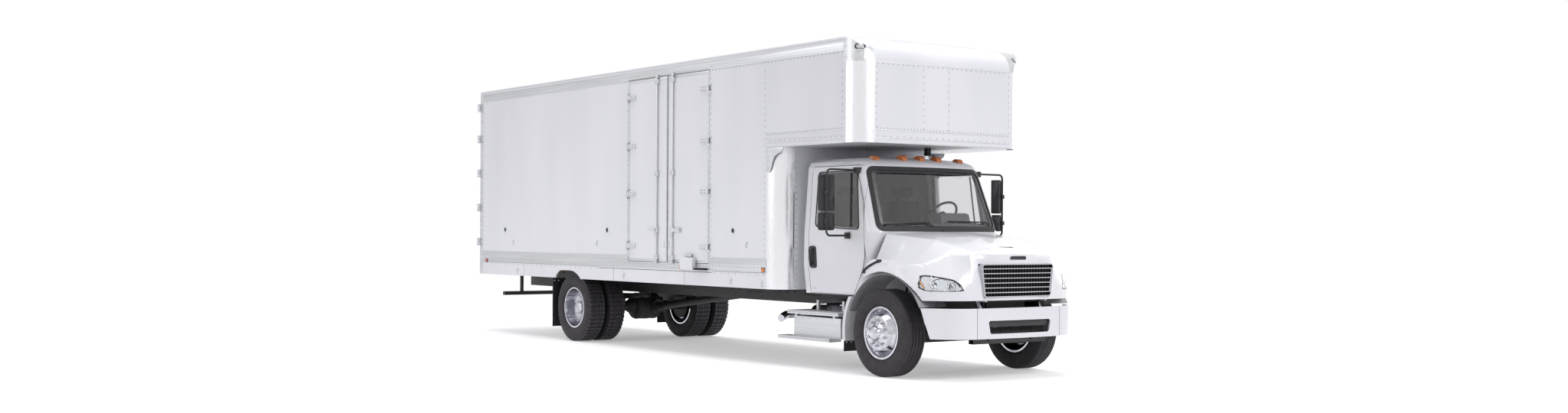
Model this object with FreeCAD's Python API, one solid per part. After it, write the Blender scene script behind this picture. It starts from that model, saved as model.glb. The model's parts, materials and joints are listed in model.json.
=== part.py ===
import FreeCAD, Part
import math
import os
from FreeCAD import Vector as V

os.makedirs("parts", exist_ok=True)

# A conventional-cab moving truck with a van body whose nose reaches over the cab.
# Millimetres, +Z up, floor at Z 0, X across the truck with +X on the driver's side.
# Pieces are drawn with Y 0 at the front axle and +Y to the rear, and export() moves
# them so that Y 0 ends up half way along the truck.

# ---- driving dimensions -------------------------------------------------------------
OVERALL_LENGTH = 11040.0
FRONT_OVERHANG = 1050.0
WHEELBASE = 6966.0
HARDWARE_DEPTH = 40.0          # door locks stand this far behind the rear doors
RUNNING_GAP = 6.0              # between a door or lid and what surrounds it
SEAT_GAP = 0.3                 # between curved faces that rest on each other

TYRE_R = 495.0
TYRE_HALF_WIDTH = 138.0
TREAD_HALF_WIDTH = 112.0
SHOULDER_R = 24.0
RIM_FLANGE_R = 298.0
BEAD_R = 286.0
RIM_HALF_WIDTH = 105.0
RIM_WALL = 10.0
DUAL_SPACING = 335.0
DISC_THICKNESS = 22.0
HUB_R = 120.0
FRONT_WHEEL_X = 1033.0
REAR_OUTER_X = 1088.0
KINGPIN_X = 930.0
STEER_ARM = 170.0
SPINDLE_R = 35.0
REAR_SPINDLE_R = 45.0
AXLE_TUBE_R = 70.0

RAIL_X = 430.0                 # outer face of a frame rail
RAIL_HEIGHT = 257.0
RAIL_FLANGE = 80.0
RAIL_WALL = 9.0
FRAME_TOP = 985.0
FRAME_FRONT = -900.0

BODY_HALF_WIDTH = 1295.0
BODY_WALL = 50.0
BODY_EDGE_Z = 3852.0           # upper edge of the side wall
ROOF_CROWN = 28.0
ROOF_THICKNESS = 40.0
FLOOR_TOP = 1240.0
DECK_THICKNESS = 35.0
CROSS_BEAM_HEIGHT = 100.0
PANEL_BOTTOM = 1278.0
RAIL_BOTTOM = 1125.0
SKIRT_BOTTOM = 924.0
REAR_FRAME_DEPTH = 110.0
REAR_POST_WIDTH = 80.0
REAR_HEADER_HEIGHT = 140.0

NOSE_FRONT = 232.0
NOSE_BOTTOM = 2648.0
NOSE_FLOOR_THICKNESS = 60.0
CORNER_LEG = 242.0             # how far a rounded body corner reaches each way
ROOF_RADIUS = 281.0            # rounded upper edge of the nose
BULKHEAD_FRONT = 1760.0

SIDE_DOOR_FRONT = 3275.0
SIDE_DOOR_REAR = 5265.0
SIDE_DOOR_BOTTOM = 1215.0
SIDE_DOOR_TOP = 3692.0
DOOR_THICKNESS = 45.0
DOOR_BEHIND = 5.0
SIDE_PIN_OUT = 32.0            # hinge pins outside the wall
REAR_PIN_OUT = 30.0
REAR_PIN_BACK = 20.0
PIN_R = 9.0

CAB_BOTTOM = 890.0
CAB_REAR = 1620.0
CAB_WALL = 60.0
CAB_FLOOR = 1050.0
CAB_FLOOR_THICKNESS = 60.0
HOOD_REAR = 250.0
HOOD_FRONT = -995.0
HOOD_SKIN = 12.0
HOOD_BOTTOM = 880.0
FENDER_X = 1200.0
ARCH_Y = -60.0
ARCH_R = 690.0
QUARTER_LOW = 372.0            # lower end of the fender behind the front wheel
HOOD_PIVOT_Y = -930.0
HOOD_PIVOT_Z = 700.0
PIVOT_R = 15.0

FRONT_AXLE_Y = -OVERALL_LENGTH / 2.0 + FRONT_OVERHANG
BODY_REAR = OVERALL_LENGTH - FRONT_OVERHANG - HARDWARE_DEPTH
REAR_FRAME_FRONT = BODY_REAR - REAR_FRAME_DEPTH
WHEEL_Z = TYRE_R
RAIL_BOTTOM_Z = FRAME_TOP - RAIL_HEIGHT


# ---- shape helpers ------------------------------------------------------------------
def box(x0, x1, y0, y1, z0, z1):
    return Part.makeBox(x1 - x0, y1 - y0, z1 - z0, V(x0, y0, z0))


def both_sides(shape):
    """The shape and its mirror image about the truck's centre plane."""
    return [shape, mirrored(shape)]


def mirrored(shape):
    return shape.mirror(V(0, 0, 0), V(1, 0, 0))


def fuse(*shapes):
    joined = shapes[0].multiFuse(list(shapes[1:]))
    return joined.removeSplitter()


def cylinder_x(radius, x0, x1, y, z):
    return Part.makeCylinder(radius, x1 - x0, V(x0, y, z), V(1, 0, 0))


def cylinder_y(radius, y0, y1, x, z):
    return Part.makeCylinder(radius, y1 - y0, V(x, y0, z), V(0, 1, 0))


def cylinder_z(radius, z0, z1, x, y):
    return Part.makeCylinder(radius, z1 - z0, V(x, y, z0), V(0, 0, 1))


def outline(steps):
    """A closed wire from points; a step (middle, end) is an arc through middle to end."""
    edges = []
    here = steps[0]
    for step in steps[1:] + [steps[0]]:
        if isinstance(step, tuple):
            edges.append(Part.Arc(here, step[0], step[1]).toShape())
            here = step[1]
        elif (step - here).Length > 1e-6:
            edges.append(Part.LineSegment(here, step).toShape())
            here = step
    return Part.Wire(edges)


def prism(steps, along):
    """A solid from a closed outline pushed along a vector."""
    return Part.Face(outline(steps)).extrude(along)


def side_prism(points, x0, x1):
    """A solid from a (y, z) outline between two X planes; (my, mz, y, z) is an arc."""
    def place(p):
        if len(p) == 4:
            return (V(x0, p[0], p[1]), V(x0, p[2], p[3]))
        return V(x0, p[0], p[1])
    return prism([place(p) for p in points], V(x1 - x0, 0, 0))


def plan_step(p, z):
    """One step of an (x, y) outline at a height; (mx, my, x, y) is an arc."""
    if len(p) == 4:
        return (V(p[0], p[1], z), V(p[2], p[3], z))
    return V(p[0], p[1], z)


def plan_prism(points, z0, z1):
    """A solid from an (x, y) outline between two heights."""
    return prism([plan_step(p, z0) for p in points], V(0, 0, z1 - z0))


def front_prism(points, y0, y1):
    """A solid from an (x, z) outline between two Y planes; (mx, mz, x, z) is an arc."""
    def place(p):
        if len(p) == 4:
            return (V(p[0], y0, p[1]), V(p[2], y0, p[3]))
        return V(p[0], y0, p[1])
    return prism([place(p) for p in points], V(0, y1 - y0, 0))


def turned(points, y, z):
    """A solid of revolution about the wheel axis through (y, z) from (x, r) points."""
    def place(p):
        if len(p) == 4:
            return (V(p[0], y, z + p[1]), V(p[2], y, z + p[3]))
        return V(p[0], y, z + p[1])
    ring = Part.Face(outline([place(p) for p in points])).revolve(V(0, y, z), V(1, 0, 0), 360)
    if ring.Volume < 0:
        ring.reverse()
    return ring


def tube_between(a, b, radius):
    return Part.makeCylinder(radius, (b - a).Length, a, b - a)


def bent_tube(points, radius, bend):
    """A round bar along straight runs joined by tangent arcs of one bend radius."""
    edges = []
    here = points[0]
    for a, b, c in zip(points, points[1:], points[2:]):
        back = (a - b).normalize()
        ahead = (c - b).normalize()
        half = math.acos(back.dot(ahead)) / 2
        start = b + back * (bend / math.tan(half))
        end = b + ahead * (bend / math.tan(half))
        middle = b + (back + ahead).normalize() * (bend / math.sin(half) - bend)
        edges.append(Part.LineSegment(here, start).toShape())
        edges.append(Part.Arc(start, middle, end).toShape())
        here = end
    edges.append(Part.LineSegment(here, points[-1]).toShape())
    ring = Part.Wire([Part.makeCircle(radius, points[0], points[1] - points[0])])
    return Part.Wire(edges).makePipeShell([ring], True, True)


def export(name, *shapes):
    shape = shapes[0] if len(shapes) == 1 else Part.makeCompound(list(shapes))
    placed = shape.copy()
    placed.translate(V(0, FRONT_AXLE_Y, 0))
    placed.exportStep("parts/%s.step" % name)


# ---- chassis ------------------------------------------------------------------------
def frame_rails():
    rail = box(RAIL_X - RAIL_FLANGE, RAIL_X, FRAME_FRONT, REAR_FRAME_FRONT, RAIL_BOTTOM_Z, FRAME_TOP)
    channel = box(RAIL_X - RAIL_FLANGE - 1, RAIL_X - RAIL_WALL, FRAME_FRONT - 1, REAR_FRAME_FRONT + 1,
                  RAIL_BOTTOM_Z + RAIL_WALL, FRAME_TOP - RAIL_WALL)
    export("frame_rails", *both_sides(rail.cut(channel)))


CROSSMEMBER_PLACES = [-890, 1500, 2900, 4300, 5900, 8000, 9700]


def crossmembers():
    """Bars between the rails, and the brackets at the front that carry bumper and hood."""
    inner = RAIL_X - RAIL_WALL
    high = FRAME_TOP - RAIL_WALL - 40
    bars = []
    for y in CROSSMEMBER_PLACES:
        bar = box(-inner, inner, y, y + 70, high - 80, high)
        hollow = box(-inner + 60, inner - 60, y + 8, y + 71, high - 70, high - 10)
        bars.append(bar.cut(hollow))
    beam = box(-720, 720, -1045, -950, 590, 650).cut(bumper_inside(580, 660))
    beam = beam.cut(box(-480, 480, -1100, -1000, 580, 660))
    arm = box(-350, -310, -985, FRAME_FRONT, 580, 800)
    plate = box(-350, -310, FRAME_FRONT, FRAME_FRONT + 120, RAIL_BOTTOM_Z, 800)
    low_beam = box(-560, 560, -880, -800, 395, 455).cut(box(-561, 561, -872, -808, 403, 447))
    drop = box(-350, -310, -905, -785, 430, 740)
    pin = cylinder_x(PIVOT_R, -480, -345, HOOD_PIVOT_Y, HOOD_PIVOT_Z)
    front = fuse(beam, low_beam, *both_sides(drop), *both_sides(arm), *both_sides(plate), *both_sides(pin))
    export("crossmembers", *bars, front)


def front_axle():
    beam_half = 45.0
    seat_x = RAIL_X
    end_x = KINGPIN_X - 60
    low = 372.0
    profile = [(-end_x, WHEEL_Z - 60), (-seat_x - 60, low), (seat_x + 60, low), (end_x, WHEEL_Z - 60),
               (end_x, WHEEL_Z + 40), (seat_x + 60, low + 100), (-seat_x - 60, low + 100),
               (-end_x, WHEEL_Z + 40)]
    beam = front_prism(profile, -beam_half, beam_half)
    web = [(-end_x + 70, WHEEL_Z - 36), (-seat_x - 50, low + 20), (seat_x + 50, low + 20),
           (end_x - 70, WHEEL_Z - 36), (end_x - 70, WHEEL_Z + 8), (seat_x + 50, low + 80),
           (-seat_x - 50, low + 80), (-end_x + 70, WHEEL_Z + 8)]
    for y0, y1 in ((-beam_half - 1, -12), (12, beam_half + 1)):
        beam = beam.cut(front_prism(web, y0, y1))
    eyes = []
    for side in (-1, 1):
        x = side * KINGPIN_X
        eye = cylinder_z(44, WHEEL_Z - 55, WHEEL_Z + 45, x, 0)
        neck = box(min(x, side * (end_x - 20)), max(x, side * (end_x - 20)), -38, 38,
                   WHEEL_Z - 55, WHEEL_Z + 38)
        eyes.append(fuse(eye, neck).cut(cylinder_z(22.4, 0, 900, x, 0)))
    export("front_axle", fuse(beam, *eyes))


def knuckle():
    """The stub axle of the driver's side: yoke, kingpin, spindle, shield and steering arm."""
    x = KINGPIN_X
    pin = cylinder_z(22, WHEEL_Z - 100, WHEEL_Z + 90, x, 0)
    lower = cylinder_z(40, WHEEL_Z - 100, WHEEL_Z - 60.5, x, 0)
    upper = cylinder_z(40, WHEEL_Z + 50.5, WHEEL_Z + 90, x, 0)
    back = box(x + 50, x + 80, -50, 50, WHEEL_Z - 100, WHEEL_Z + 90)
    webs = [box(x, x + 60, -35, 35, WHEEL_Z - 100, WHEEL_Z - 60.5),
            box(x, x + 60, -35, 35, WHEEL_Z + 50.5, WHEEL_Z + 90)]
    spindle = cylinder_x(SPINDLE_R, x + 75, x + 285, 0, WHEEL_Z)
    shield = cylinder_x(200, x + 70, x + 80, 0, WHEEL_Z)
    arm = box(x - 22, x + 22, 20, STEER_ARM, WHEEL_Z - 100, WHEEL_Z - 70)
    eye = cylinder_z(24, WHEEL_Z - 100, WHEEL_Z - 70, x, STEER_ARM)
    ball = cylinder_z(10, WHEEL_Z - 150, WHEEL_Z - 99, x, STEER_ARM)
    return fuse(pin, lower, upper, back, *webs, spindle, shield, arm, eye, ball)


def tie_rod():
    z = WHEEL_Z - 128
    rod = cylinder_x(19, -KINGPIN_X, KINGPIN_X, STEER_ARM, z)
    ends = [cylinder_z(27, z - 21, z + 21, s * KINGPIN_X, STEER_ARM) for s in (-1, 1)]
    bores = [cylinder_z(10.4, z - 60, z + 60, s * KINGPIN_X, STEER_ARM) for s in (-1, 1)]
    return fuse(rod, *ends).cut(Part.makeCompound(bores))


def rear_axle():
    y = WHEELBASE
    z = WHEEL_Z
    half = [(0, 0), (1105, 0), (1105, REAR_SPINDLE_R), (650, REAR_SPINDLE_R), (650, 200), (635, 200),
            (635, AXLE_TUBE_R), (330, AXLE_TUBE_R), (215, 130), (205, 165, 120, 195), (0, 200)]
    side = turned(half, y, z)
    nose = cylinder_y(105, y - 260, y, 90, z)
    flange = cylinder_y(60, y - 330, y - 250, 90, z)
    export("rear_axle", fuse(side, mirrored(side), nose, flange))


SPRING_TABLE = [
    # axle Y, half length, eye height, seat height, pack thickness
    (0.0, 640.0, 668.0, 512.0, 46.0),
    (WHEELBASE, 720.0, 680.0, 612.0, 84.0),
]
SPRING_WIDTH = 90.0


def leaf_springs():
    pieces = []
    for axle_y, half, eye_z, seat_z, thick in SPRING_TABLE:
        x0 = RAIL_X - SPRING_WIDTH / 2
        x1 = RAIL_X + SPRING_WIDTH / 2
        pack = side_prism([(axle_y - half, eye_z), (axle_y, seat_z, axle_y + half, eye_z),
                           (axle_y + half, eye_z + thick * 0.5),
                           (axle_y, seat_z + thick, axle_y - half, eye_z + thick * 0.5)], x0, x1)
        parts = [pack]
        for end in (-1, 1):
            y = axle_y + end * half
            eye = cylinder_x(34, x0, x1, y, eye_z + 10)
            hanger = box(x0 - 12, x0, y - 60, y + 60, eye_z - 22, RAIL_BOTTOM_Z)
            outer = box(x1, x1 + 12, y - 60, y + 60, eye_z - 22, RAIL_BOTTOM_Z)
            bridge = box(x0 - 12, x1 + 12, y - 60, y + 60, RAIL_BOTTOM_Z - 12, RAIL_BOTTOM_Z)
            parts += [eye, hanger, outer, bridge]
        if axle_y:
            top = WHEEL_Z + 40
            parts.append(box(x0, x1, axle_y - 90, axle_y + 90, top, seat_z + 5))
        else:
            parts.append(box(x0, x1, axle_y - 60, axle_y + 60, 472, seat_z + 5))
        spring = fuse(*parts)
        if axle_y:
            spring = spring.cut(cylinder_x(AXLE_TUBE_R + SEAT_GAP, 0, 800, axle_y, WHEEL_Z))
        pieces += both_sides(spring)
    export("leaf_springs", *pieces)


def driveshaft():
    gearbox = V(0, 1181.5, 760)
    centre = V(0, 3940, 800)
    pinion = V(90, WHEELBASE - 330, WHEEL_Z)
    front = tube_between(gearbox + V(0, 6, 0), centre - V(0, 30, 0), 50)
    collar = cylinder_y(66, gearbox.y, gearbox.y + 90, 0, gearbox.z)
    rear = tube_between(centre + V(0, 20, 0), pinion - V(0, 12, 0), 50)
    yoke = cylinder_y(60, pinion.y - 90, pinion.y - 0.5, pinion.x, pinion.z)
    bearing = cylinder_y(78, centre.y - 60, centre.y + 60, 0, centre.z)
    strap = box(-60, 60, centre.y - 60, centre.y - 10, centre.z, FRAME_TOP - 70)
    hanger = box(-RAIL_X + RAIL_WALL, RAIL_X - RAIL_WALL, centre.y - 60, centre.y - 10,
                 FRAME_TOP - 110, FRAME_TOP - 70)
    export("driveshaft", fuse(front, collar, rear, yoke, bearing, strap, hanger))


def engine():
    """Block and gearbox, each a plain solid, on mounts between the rails."""
    block = box(-290, 290, -560, 250, 640, 1300)
    mounts = box(-RAIL_X + RAIL_WALL, RAIL_X - RAIL_WALL, -60, 60, 800, 860)
    gearbox = fuse(box(-210, 210, 250, 1120, 640, 870), cylinder_y(70, 1120, 1181, 0, 760))
    export("engine", fuse(block, mounts), gearbox)


def radiator():
    core = box(-290, 290, -740, -660, 700, 1290)
    tanks = [box(s * 315 - 25, s * 315 + 25, -755, -645, 690, 1300) for s in (-1, 1)]
    cooler = box(-300, 300, -800, -755, 600, 1240)
    foot = box(-300, 300, -820, -740, 860, 910)
    export("radiator", fuse(core, *tanks, cooler, foot))


def exhaust():
    can = cylinder_y(125, 900, 1820, -640, 610)
    cones = [Part.makeCone(60, 125, 60, V(-640, 840, 610), V(0, 1, 0)),
             Part.makeCone(125, 50, 60, V(-640, 1820, 610), V(0, 1, 0))]
    tail = bent_tube([V(-640, 1870, 610), V(-640, 1980, 610), V(-1010, 1980, 610),
                      V(-1130, 1920, 570)], 48, 85)
    straps = [box(-RAIL_X - 210, -RAIL_X, y, y + 40, 715, 765) for y in (1000, 1650)]
    export("exhaust", fuse(can, *cones, tail, *straps))


def fuel_tank():
    """A squared tank on the driver's side with two cab steps on it."""
    y0, y1 = 790, 1930
    body = side_prism([(y0, 440), (y0 + 18, 398, y0 + 60, 380), (y1 - 60, 380),
                       (y1 - 18, 398, y1, 440), (y1, 760), (y1 - 18, 802, y1 - 60, 820),
                       (y0 + 60, 820), (y0 + 18, 802, y0, 760)], 560, 1040)
    upper = box(1040, 1130, 800, 1790, 640, 682)
    lower = box(1040, 1180, 900, 1920, 335, 376)
    brackets = [box(1040, 1100, y, y + 40, 376, 640) for y in (960, 1700)]
    straps = [box(RAIL_X, 560, y, y + 60, 770, 810) for y in (1000, 1650)]
    export("fuel_tank", fuse(body, upper, lower, *brackets, *straps))


def step_box():
    """The kerb-side cover and its two cab steps."""
    cover = box(-1050, -800, 850, 1760, 372, 610)
    hollow = box(-1030, -799, 870, 1740, 392, 590)
    upper = box(-1130, -800, 800, 1790, 640, 682)
    lower = box(-1180, -1000, 900, 1920, 335, 376)
    brackets = [box(-1050, -1000, y, y + 40, 600, 645) for y in (960, 1700)]
    arms = [box(-830, -RAIL_X, y, y + 40, 760, 800) for y in (1060, 1560)]
    legs = [box(-830, -800, y, y + 40, 600, 800) for y in (1060, 1560)]
    export("step_box", fuse(cover.cut(hollow), upper, lower, *brackets, *arms, *legs))


def mud_flaps():
    front = box(960, 1165, 636, 648, 250, QUARTER_LOW)
    rear = box(600, 1240, 7560, 7572, 190, 900)
    hanger = box(RAIL_X, 1240, 7572, 7612, 870, 910)
    export("mud_flaps", *both_sides(front), *both_sides(fuse(rear, hanger)))


def underride_guard():
    bar = box(-960, 960, 9720, 9790, 575, 635)
    hangers = []
    for side in (-1, 1):
        inner = side * RAIL_X
        outer = side * 640
        hangers.append(box(min(inner, outer), max(inner, outer), 9730, 9780, 900, 950))
        hangers.append(box(outer - 20, outer + 20, 9730, 9780, 620, 950))
    export("underride_guard", fuse(bar, *hangers))


# ---- wheels -------------------------------------------------------------------------
def tyre(x):
    """Outline of a tyre about its centre plane x, with a flat tread and rounded shoulders."""
    shoulder = TREAD_HALF_WIDTH - 12
    fall = SHOULDER_R * (1 - math.sqrt(0.5))
    reach = SHOULDER_R * math.sqrt(0.5)
    half = [(shoulder, TYRE_R), (shoulder + reach, TYRE_R - fall, shoulder + SHOULDER_R, TYRE_R - SHOULDER_R),
            (TYRE_HALF_WIDTH, 385, RIM_HALF_WIDTH - 0.5, RIM_FLANGE_R + 3),
            (RIM_HALF_WIDTH - 0.5, BEAD_R + SEAT_GAP)]
    other = [(-RIM_HALF_WIDTH + 0.5, BEAD_R + SEAT_GAP), (-RIM_HALF_WIDTH + 0.5, RIM_FLANGE_R + 3),
             (-TYRE_HALF_WIDTH, 385, -shoulder - SHOULDER_R, TYRE_R - SHOULDER_R),
             (-shoulder - reach, TYRE_R - fall, -shoulder, TYRE_R)]
    return [(x + p[0], p[1]) if len(p) == 2 else (x + p[0], p[1], x + p[2], p[3]) for p in half + other]


def rim_outside(x, out):
    """Tyre side of a rim, from its open edge to the clamped face of its disc."""
    h = RIM_HALF_WIDTH
    well = BEAD_R - 14
    face = DUAL_SPACING / 2
    points = [(-h - 12, RIM_FLANGE_R), (-h, RIM_FLANGE_R), (-h, BEAD_R), (-60, BEAD_R - 6), (-35, well),
              (35, well), (60, BEAD_R - 6), (h, BEAD_R), (h, RIM_FLANGE_R), (h + 12, RIM_FLANGE_R),
              (h + 12, BEAD_R - RIM_WALL), (60, BEAD_R - 12 - RIM_WALL), (face - 22, 205), (face, 190)]
    return [(x + out * px, r) for px, r in points]


def rim_inside(x, out):
    """Hub side of a rim, from the back of its disc to its open edge."""
    back = DUAL_SPACING / 2 - DISC_THICKNESS
    points = [(back, 178), (back - 30, 196), (25, BEAD_R - 18 - RIM_WALL),
              (-RIM_HALF_WIDTH - 12, BEAD_R - RIM_WALL)]
    return [(x + out * px, r) for px, r in points]


REAR_HAND_HOLES = 5
HAND_HOLE_R = 22.0
HAND_HOLE_PLACE_R = 228.0
HAND_HOLE_TURN = 3.93          # where the first hole sits, from the top towards the rear, in radians


def drilled(wheel, x0, x1, y, count):
    """The wheel with its ring of hand holes cut through between two X planes."""
    holes = []
    for i in range(count):
        a = 2 * math.pi * i / count + HAND_HOLE_TURN
        holes.append(cylinder_x(HAND_HOLE_R, x0, x1, y + HAND_HOLE_PLACE_R * math.sin(a),
                                WHEEL_Z + HAND_HOLE_PLACE_R * math.cos(a)))
    return wheel.cut(Part.makeCompound(holes))


def front_wheel():
    """Rim, disc, hub with its cover and brake drum of the driver's side front wheel."""
    x = FRONT_WHEEL_X
    face = x + DUAL_SPACING / 2
    back = face - DISC_THICKNESS
    bore = SPINDLE_R + SEAT_GAP
    hub = [(face, HUB_R), (face + 18, 86), (1262, 70), (1276, 52), (1276, 0), (KINGPIN_X + 287, 0),
           (KINGPIN_X + 287, bore), (1020, bore), (1020, 205), (1140, 205), (1140, 95),
           (back - 20, 95), (back, HUB_R)]
    profile = rim_outside(x, 1) + hub + rim_inside(x, 1)
    return drilled(turned(profile, 0, WHEEL_Z), x + 20, face + 20, 0, 1)


def rear_wheels():
    """Twin rims, hub with its cap and brake drum of the driver's side rear wheels."""
    outer_x = REAR_OUTER_X
    inner_x = REAR_OUTER_X - DUAL_SPACING
    face = inner_x + DUAL_SPACING / 2
    bore = REAR_SPINDLE_R + SEAT_GAP
    hub = [(face + DISC_THICKNESS, HUB_R), (1128, 92), (1150, 70), (1150, 0), (1107, 0), (1107, bore),
           (662, bore), (662, 210), (800, 210), (800, 104), (face - DISC_THICKNESS - 18, 104),
           (face - DISC_THICKNESS, HUB_R)]
    outside = rim_outside(outer_x, -1)
    profile = (rim_outside(inner_x, 1) + outside[-2::-1] + rim_inside(outer_x, -1)[::-1] + hub
               + rim_inside(inner_x, 1))
    return drilled(turned(profile, WHEELBASE, WHEEL_Z), inner_x + 20, outer_x - 20, WHEELBASE, REAR_HAND_HOLES)


def wheels():
    wheel = front_wheel()
    tyre_front = turned(tyre(FRONT_WHEEL_X), 0, WHEEL_Z)
    twin = rear_wheels()
    tyre_outer = turned(tyre(REAR_OUTER_X), WHEELBASE, WHEEL_Z)
    tyre_inner = turned(tyre(REAR_OUTER_X - DUAL_SPACING), WHEELBASE, WHEEL_Z)
    export("front_wheel_left", wheel)
    export("front_wheel_right", mirrored(wheel))
    export("front_tyre_left", tyre_front)
    export("front_tyre_right", mirrored(tyre_front))
    export("rear_wheels_left", twin)
    export("rear_wheels_right", mirrored(twin))
    export("rear_tyres_left", tyre_outer, tyre_inner)
    export("rear_tyres_right", mirrored(tyre_outer), mirrored(tyre_inner))


# ---- cab ----------------------------------------------------------------------------
CAB_HALF_WIDTH = 1012.0
CAB_CORNER = 168.0             # plan radius of the front corners
CAB_BOW = 4530.0               # plan radius of the front
CAB_REACH = 2600.0
CAB_OVERLAP = 400.0            # each half is drawn this far past the centre, then trimmed
CAB_TOP = 2520.0
CAB_CROWN = 28.0
CAB_LEVELS = [
    # height, Y of the front on the centre line, half width
    (CAB_BOTTOM, 395.0, 970.0),
    (1240.0, 307.0, CAB_HALF_WIDTH),
    (1625.0, 210.0, 1005.0),
    (2400.0, 520.0, 945.0),
    (2455.0, 572.0, 925.0),
    (2495.0, 660.0, 862.0),
    (2525.0, 820.0, 700.0),
]


def cab_plan(front, half, z, inset):
    """The driver's side of the cab from above: bowed front, tangent corner and side."""
    shift = half - CAB_HALF_WIDTH
    bow = CAB_BOW - inset
    r = CAB_CORNER - inset
    lean = math.asin((CAB_HALF_WIDTH - CAB_CORNER) / (CAB_BOW - CAB_CORNER))
    corner = V(half - CAB_CORNER, front + CAB_BOW - (CAB_BOW - CAB_CORNER) * math.cos(lean), z)
    middle = (math.pi / 2 - lean) / 2
    start = V(shift, front + inset, z) + V(-CAB_OVERLAP, 0, 0)
    before = V(shift, front + inset, z)
    start.y += bow - math.sqrt(bow * bow - CAB_OVERLAP ** 2)
    return outline([start, (before, corner + V(math.sin(lean), -math.cos(lean), 0) * r),
                    (corner + V(math.cos(middle), -math.sin(middle), 0) * r, corner + V(r, 0, 0)),
                    V(half - inset, CAB_REACH, z), V(shift - CAB_OVERLAP, CAB_REACH, z)])


def cab_volume(inset, low=CAB_BOTTOM):
    """The cab's body, drawn in by an inset all over, from a height upwards."""
    layers = []
    for (z0, front0, half0), (z1, front1, half1) in zip(CAB_LEVELS, CAB_LEVELS[1:]):
        rise = z1 - z0
        if z0 == CAB_BOTTOM:
            front0 += (low - z0) * (front1 - front0) / rise
            half0 += (low - z0) * (half1 - half0) / rise
            z0 = low
        face = Part.Face(cab_plan(front0, half0, z0, inset))
        layers.append(face.extrude(V(half1 - half0, front1 - front0, z1 - z0)))
    body = layers[0].multiFuse(layers[1:])
    top = CAB_TOP - inset
    edge = CAB_LEVELS[-2][2]
    roof = front_prism([(0, low), (1300, low), (1300, top - CAB_CROWN), (edge, top - CAB_CROWN),
                        (edge / 2, top - CAB_CROWN / 4, 0, top)], -500, 3000)
    rear = CAB_REAR - inset
    back = side_prism([(-300, low), (rear, low), (rear, CAB_TOP - 140), (rear - 20, CAB_TOP - 60, rear - 120, CAB_TOP + 80),
                       (-300, CAB_TOP + 80)], -50, 1200)
    half = body.common(roof).common(back)
    return half.fuse(mirrored(half))


DOOR_INNER_X = 870.0
DOOR_FRONT_LOW = 455.0
DOOR_FRONT_TOP = 600.0
DOOR_REAR = 1525.0
DOOR_TOP = 2405.0
DOOR_BOTTOM = 900.0


def door_outline(grow):
    """The cab door from the side; its front lower corner follows the wheel arch."""
    f = DOOR_FRONT_LOW - grow
    return [(f, 1250), (DOOR_FRONT_TOP - 30 - grow, DOOR_TOP - 40),
            (DOOR_FRONT_TOP + 10 - grow, DOOR_TOP + grow), (DOOR_REAR - 40, DOOR_TOP + grow),
            (DOOR_REAR + grow - 10, DOOR_TOP - 8, DOOR_REAR + grow, DOOR_TOP - 60),
            (DOOR_REAR + grow, DOOR_BOTTOM - grow), (705 - grow, DOOR_BOTTOM - grow),
            (f + 110, 1110)]


WINDOW = [(590.0, 1670.0), (690.0, 2330.0), (1400.0, 2330.0), (1400.0, 1700.0)]


def window_outline(grow):
    (y0, z0), (y1, z1), (y2, z2), (y3, z3) = WINDOW
    return [(y0 - grow, z0 - grow), (y1 - grow, z1 + grow), (y2 + grow, z2 + grow), (y3 + grow, z3 - grow)]


WINDSCREEN = [(-860.0, 1660.0), (860.0, 1660.0), (805.0, 2375.0), (-805.0, 2375.0)]


def screen_outline(grow):
    (x0, z0), (x1, z1), (x2, z2), (x3, z3) = WINDSCREEN
    return [(x0 - grow, z0 - grow), (x1 + grow, z1 - grow), (x2 + grow, z2 + grow), (x3 - grow, z3 + grow)]


def cab():
    outer = cab_volume(0.0)
    hollow = cab_volume(CAB_WALL, CAB_BOTTOM - 30)
    room = hollow.cut(box(-1200, 1200, -500, 3000, CAB_FLOOR - CAB_FLOOR_THICKNESS, CAB_FLOOR))
    arch = Part.makeCompound(both_sides(cylinder_x(ARCH_R, 740, 1300, ARCH_Y, WHEEL_Z)))
    skin = cab_volume(-5.0, CAB_BOTTOM - 30).cut(cab_volume(CAB_WALL + RUNNING_GAP, CAB_BOTTOM - 40))
    shell = outer.cut(room)
    for side in both_sides(side_prism(door_outline(RUNNING_GAP), DOOR_INNER_X, 1300)):
        shell = shell.cut(skin.common(side))
    shell = shell.cut(front_prism(screen_outline(0), 0, 900))
    shell = shell.cut(arch)
    shell = shell.cut(box(-RAIL_X - 10, RAIL_X + 10, 0, 1800, 800, CAB_FLOOR - CAB_FLOOR_THICKNESS))
    export("cab_shell", biggest(shell))

    panes = cab_volume(14.0).cut(cab_volume(20.0))
    glass = panes.common(front_prism(screen_outline(-SEAT_GAP), 0, 900))
    export("windscreen", glass)

    wall = outer.cut(hollow)
    door = wall.common(side_prism(door_outline(0), DOOR_INNER_X, 1300))
    door = door.cut(side_prism(window_outline(0), 700, 1300)).cut(arch)
    pane = panes.common(side_prism(window_outline(-SEAT_GAP), DOOR_INNER_X - 20, 1300))
    for name, leaf, glass in (("left", door, pane), ("right", mirrored(door), mirrored(pane))):
        export("cab_door_%s" % name, leaf)
        export("door_glass_%s" % name, glass)


MIRROR_TURN = 34.0             # degrees that the heads face inwards


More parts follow.
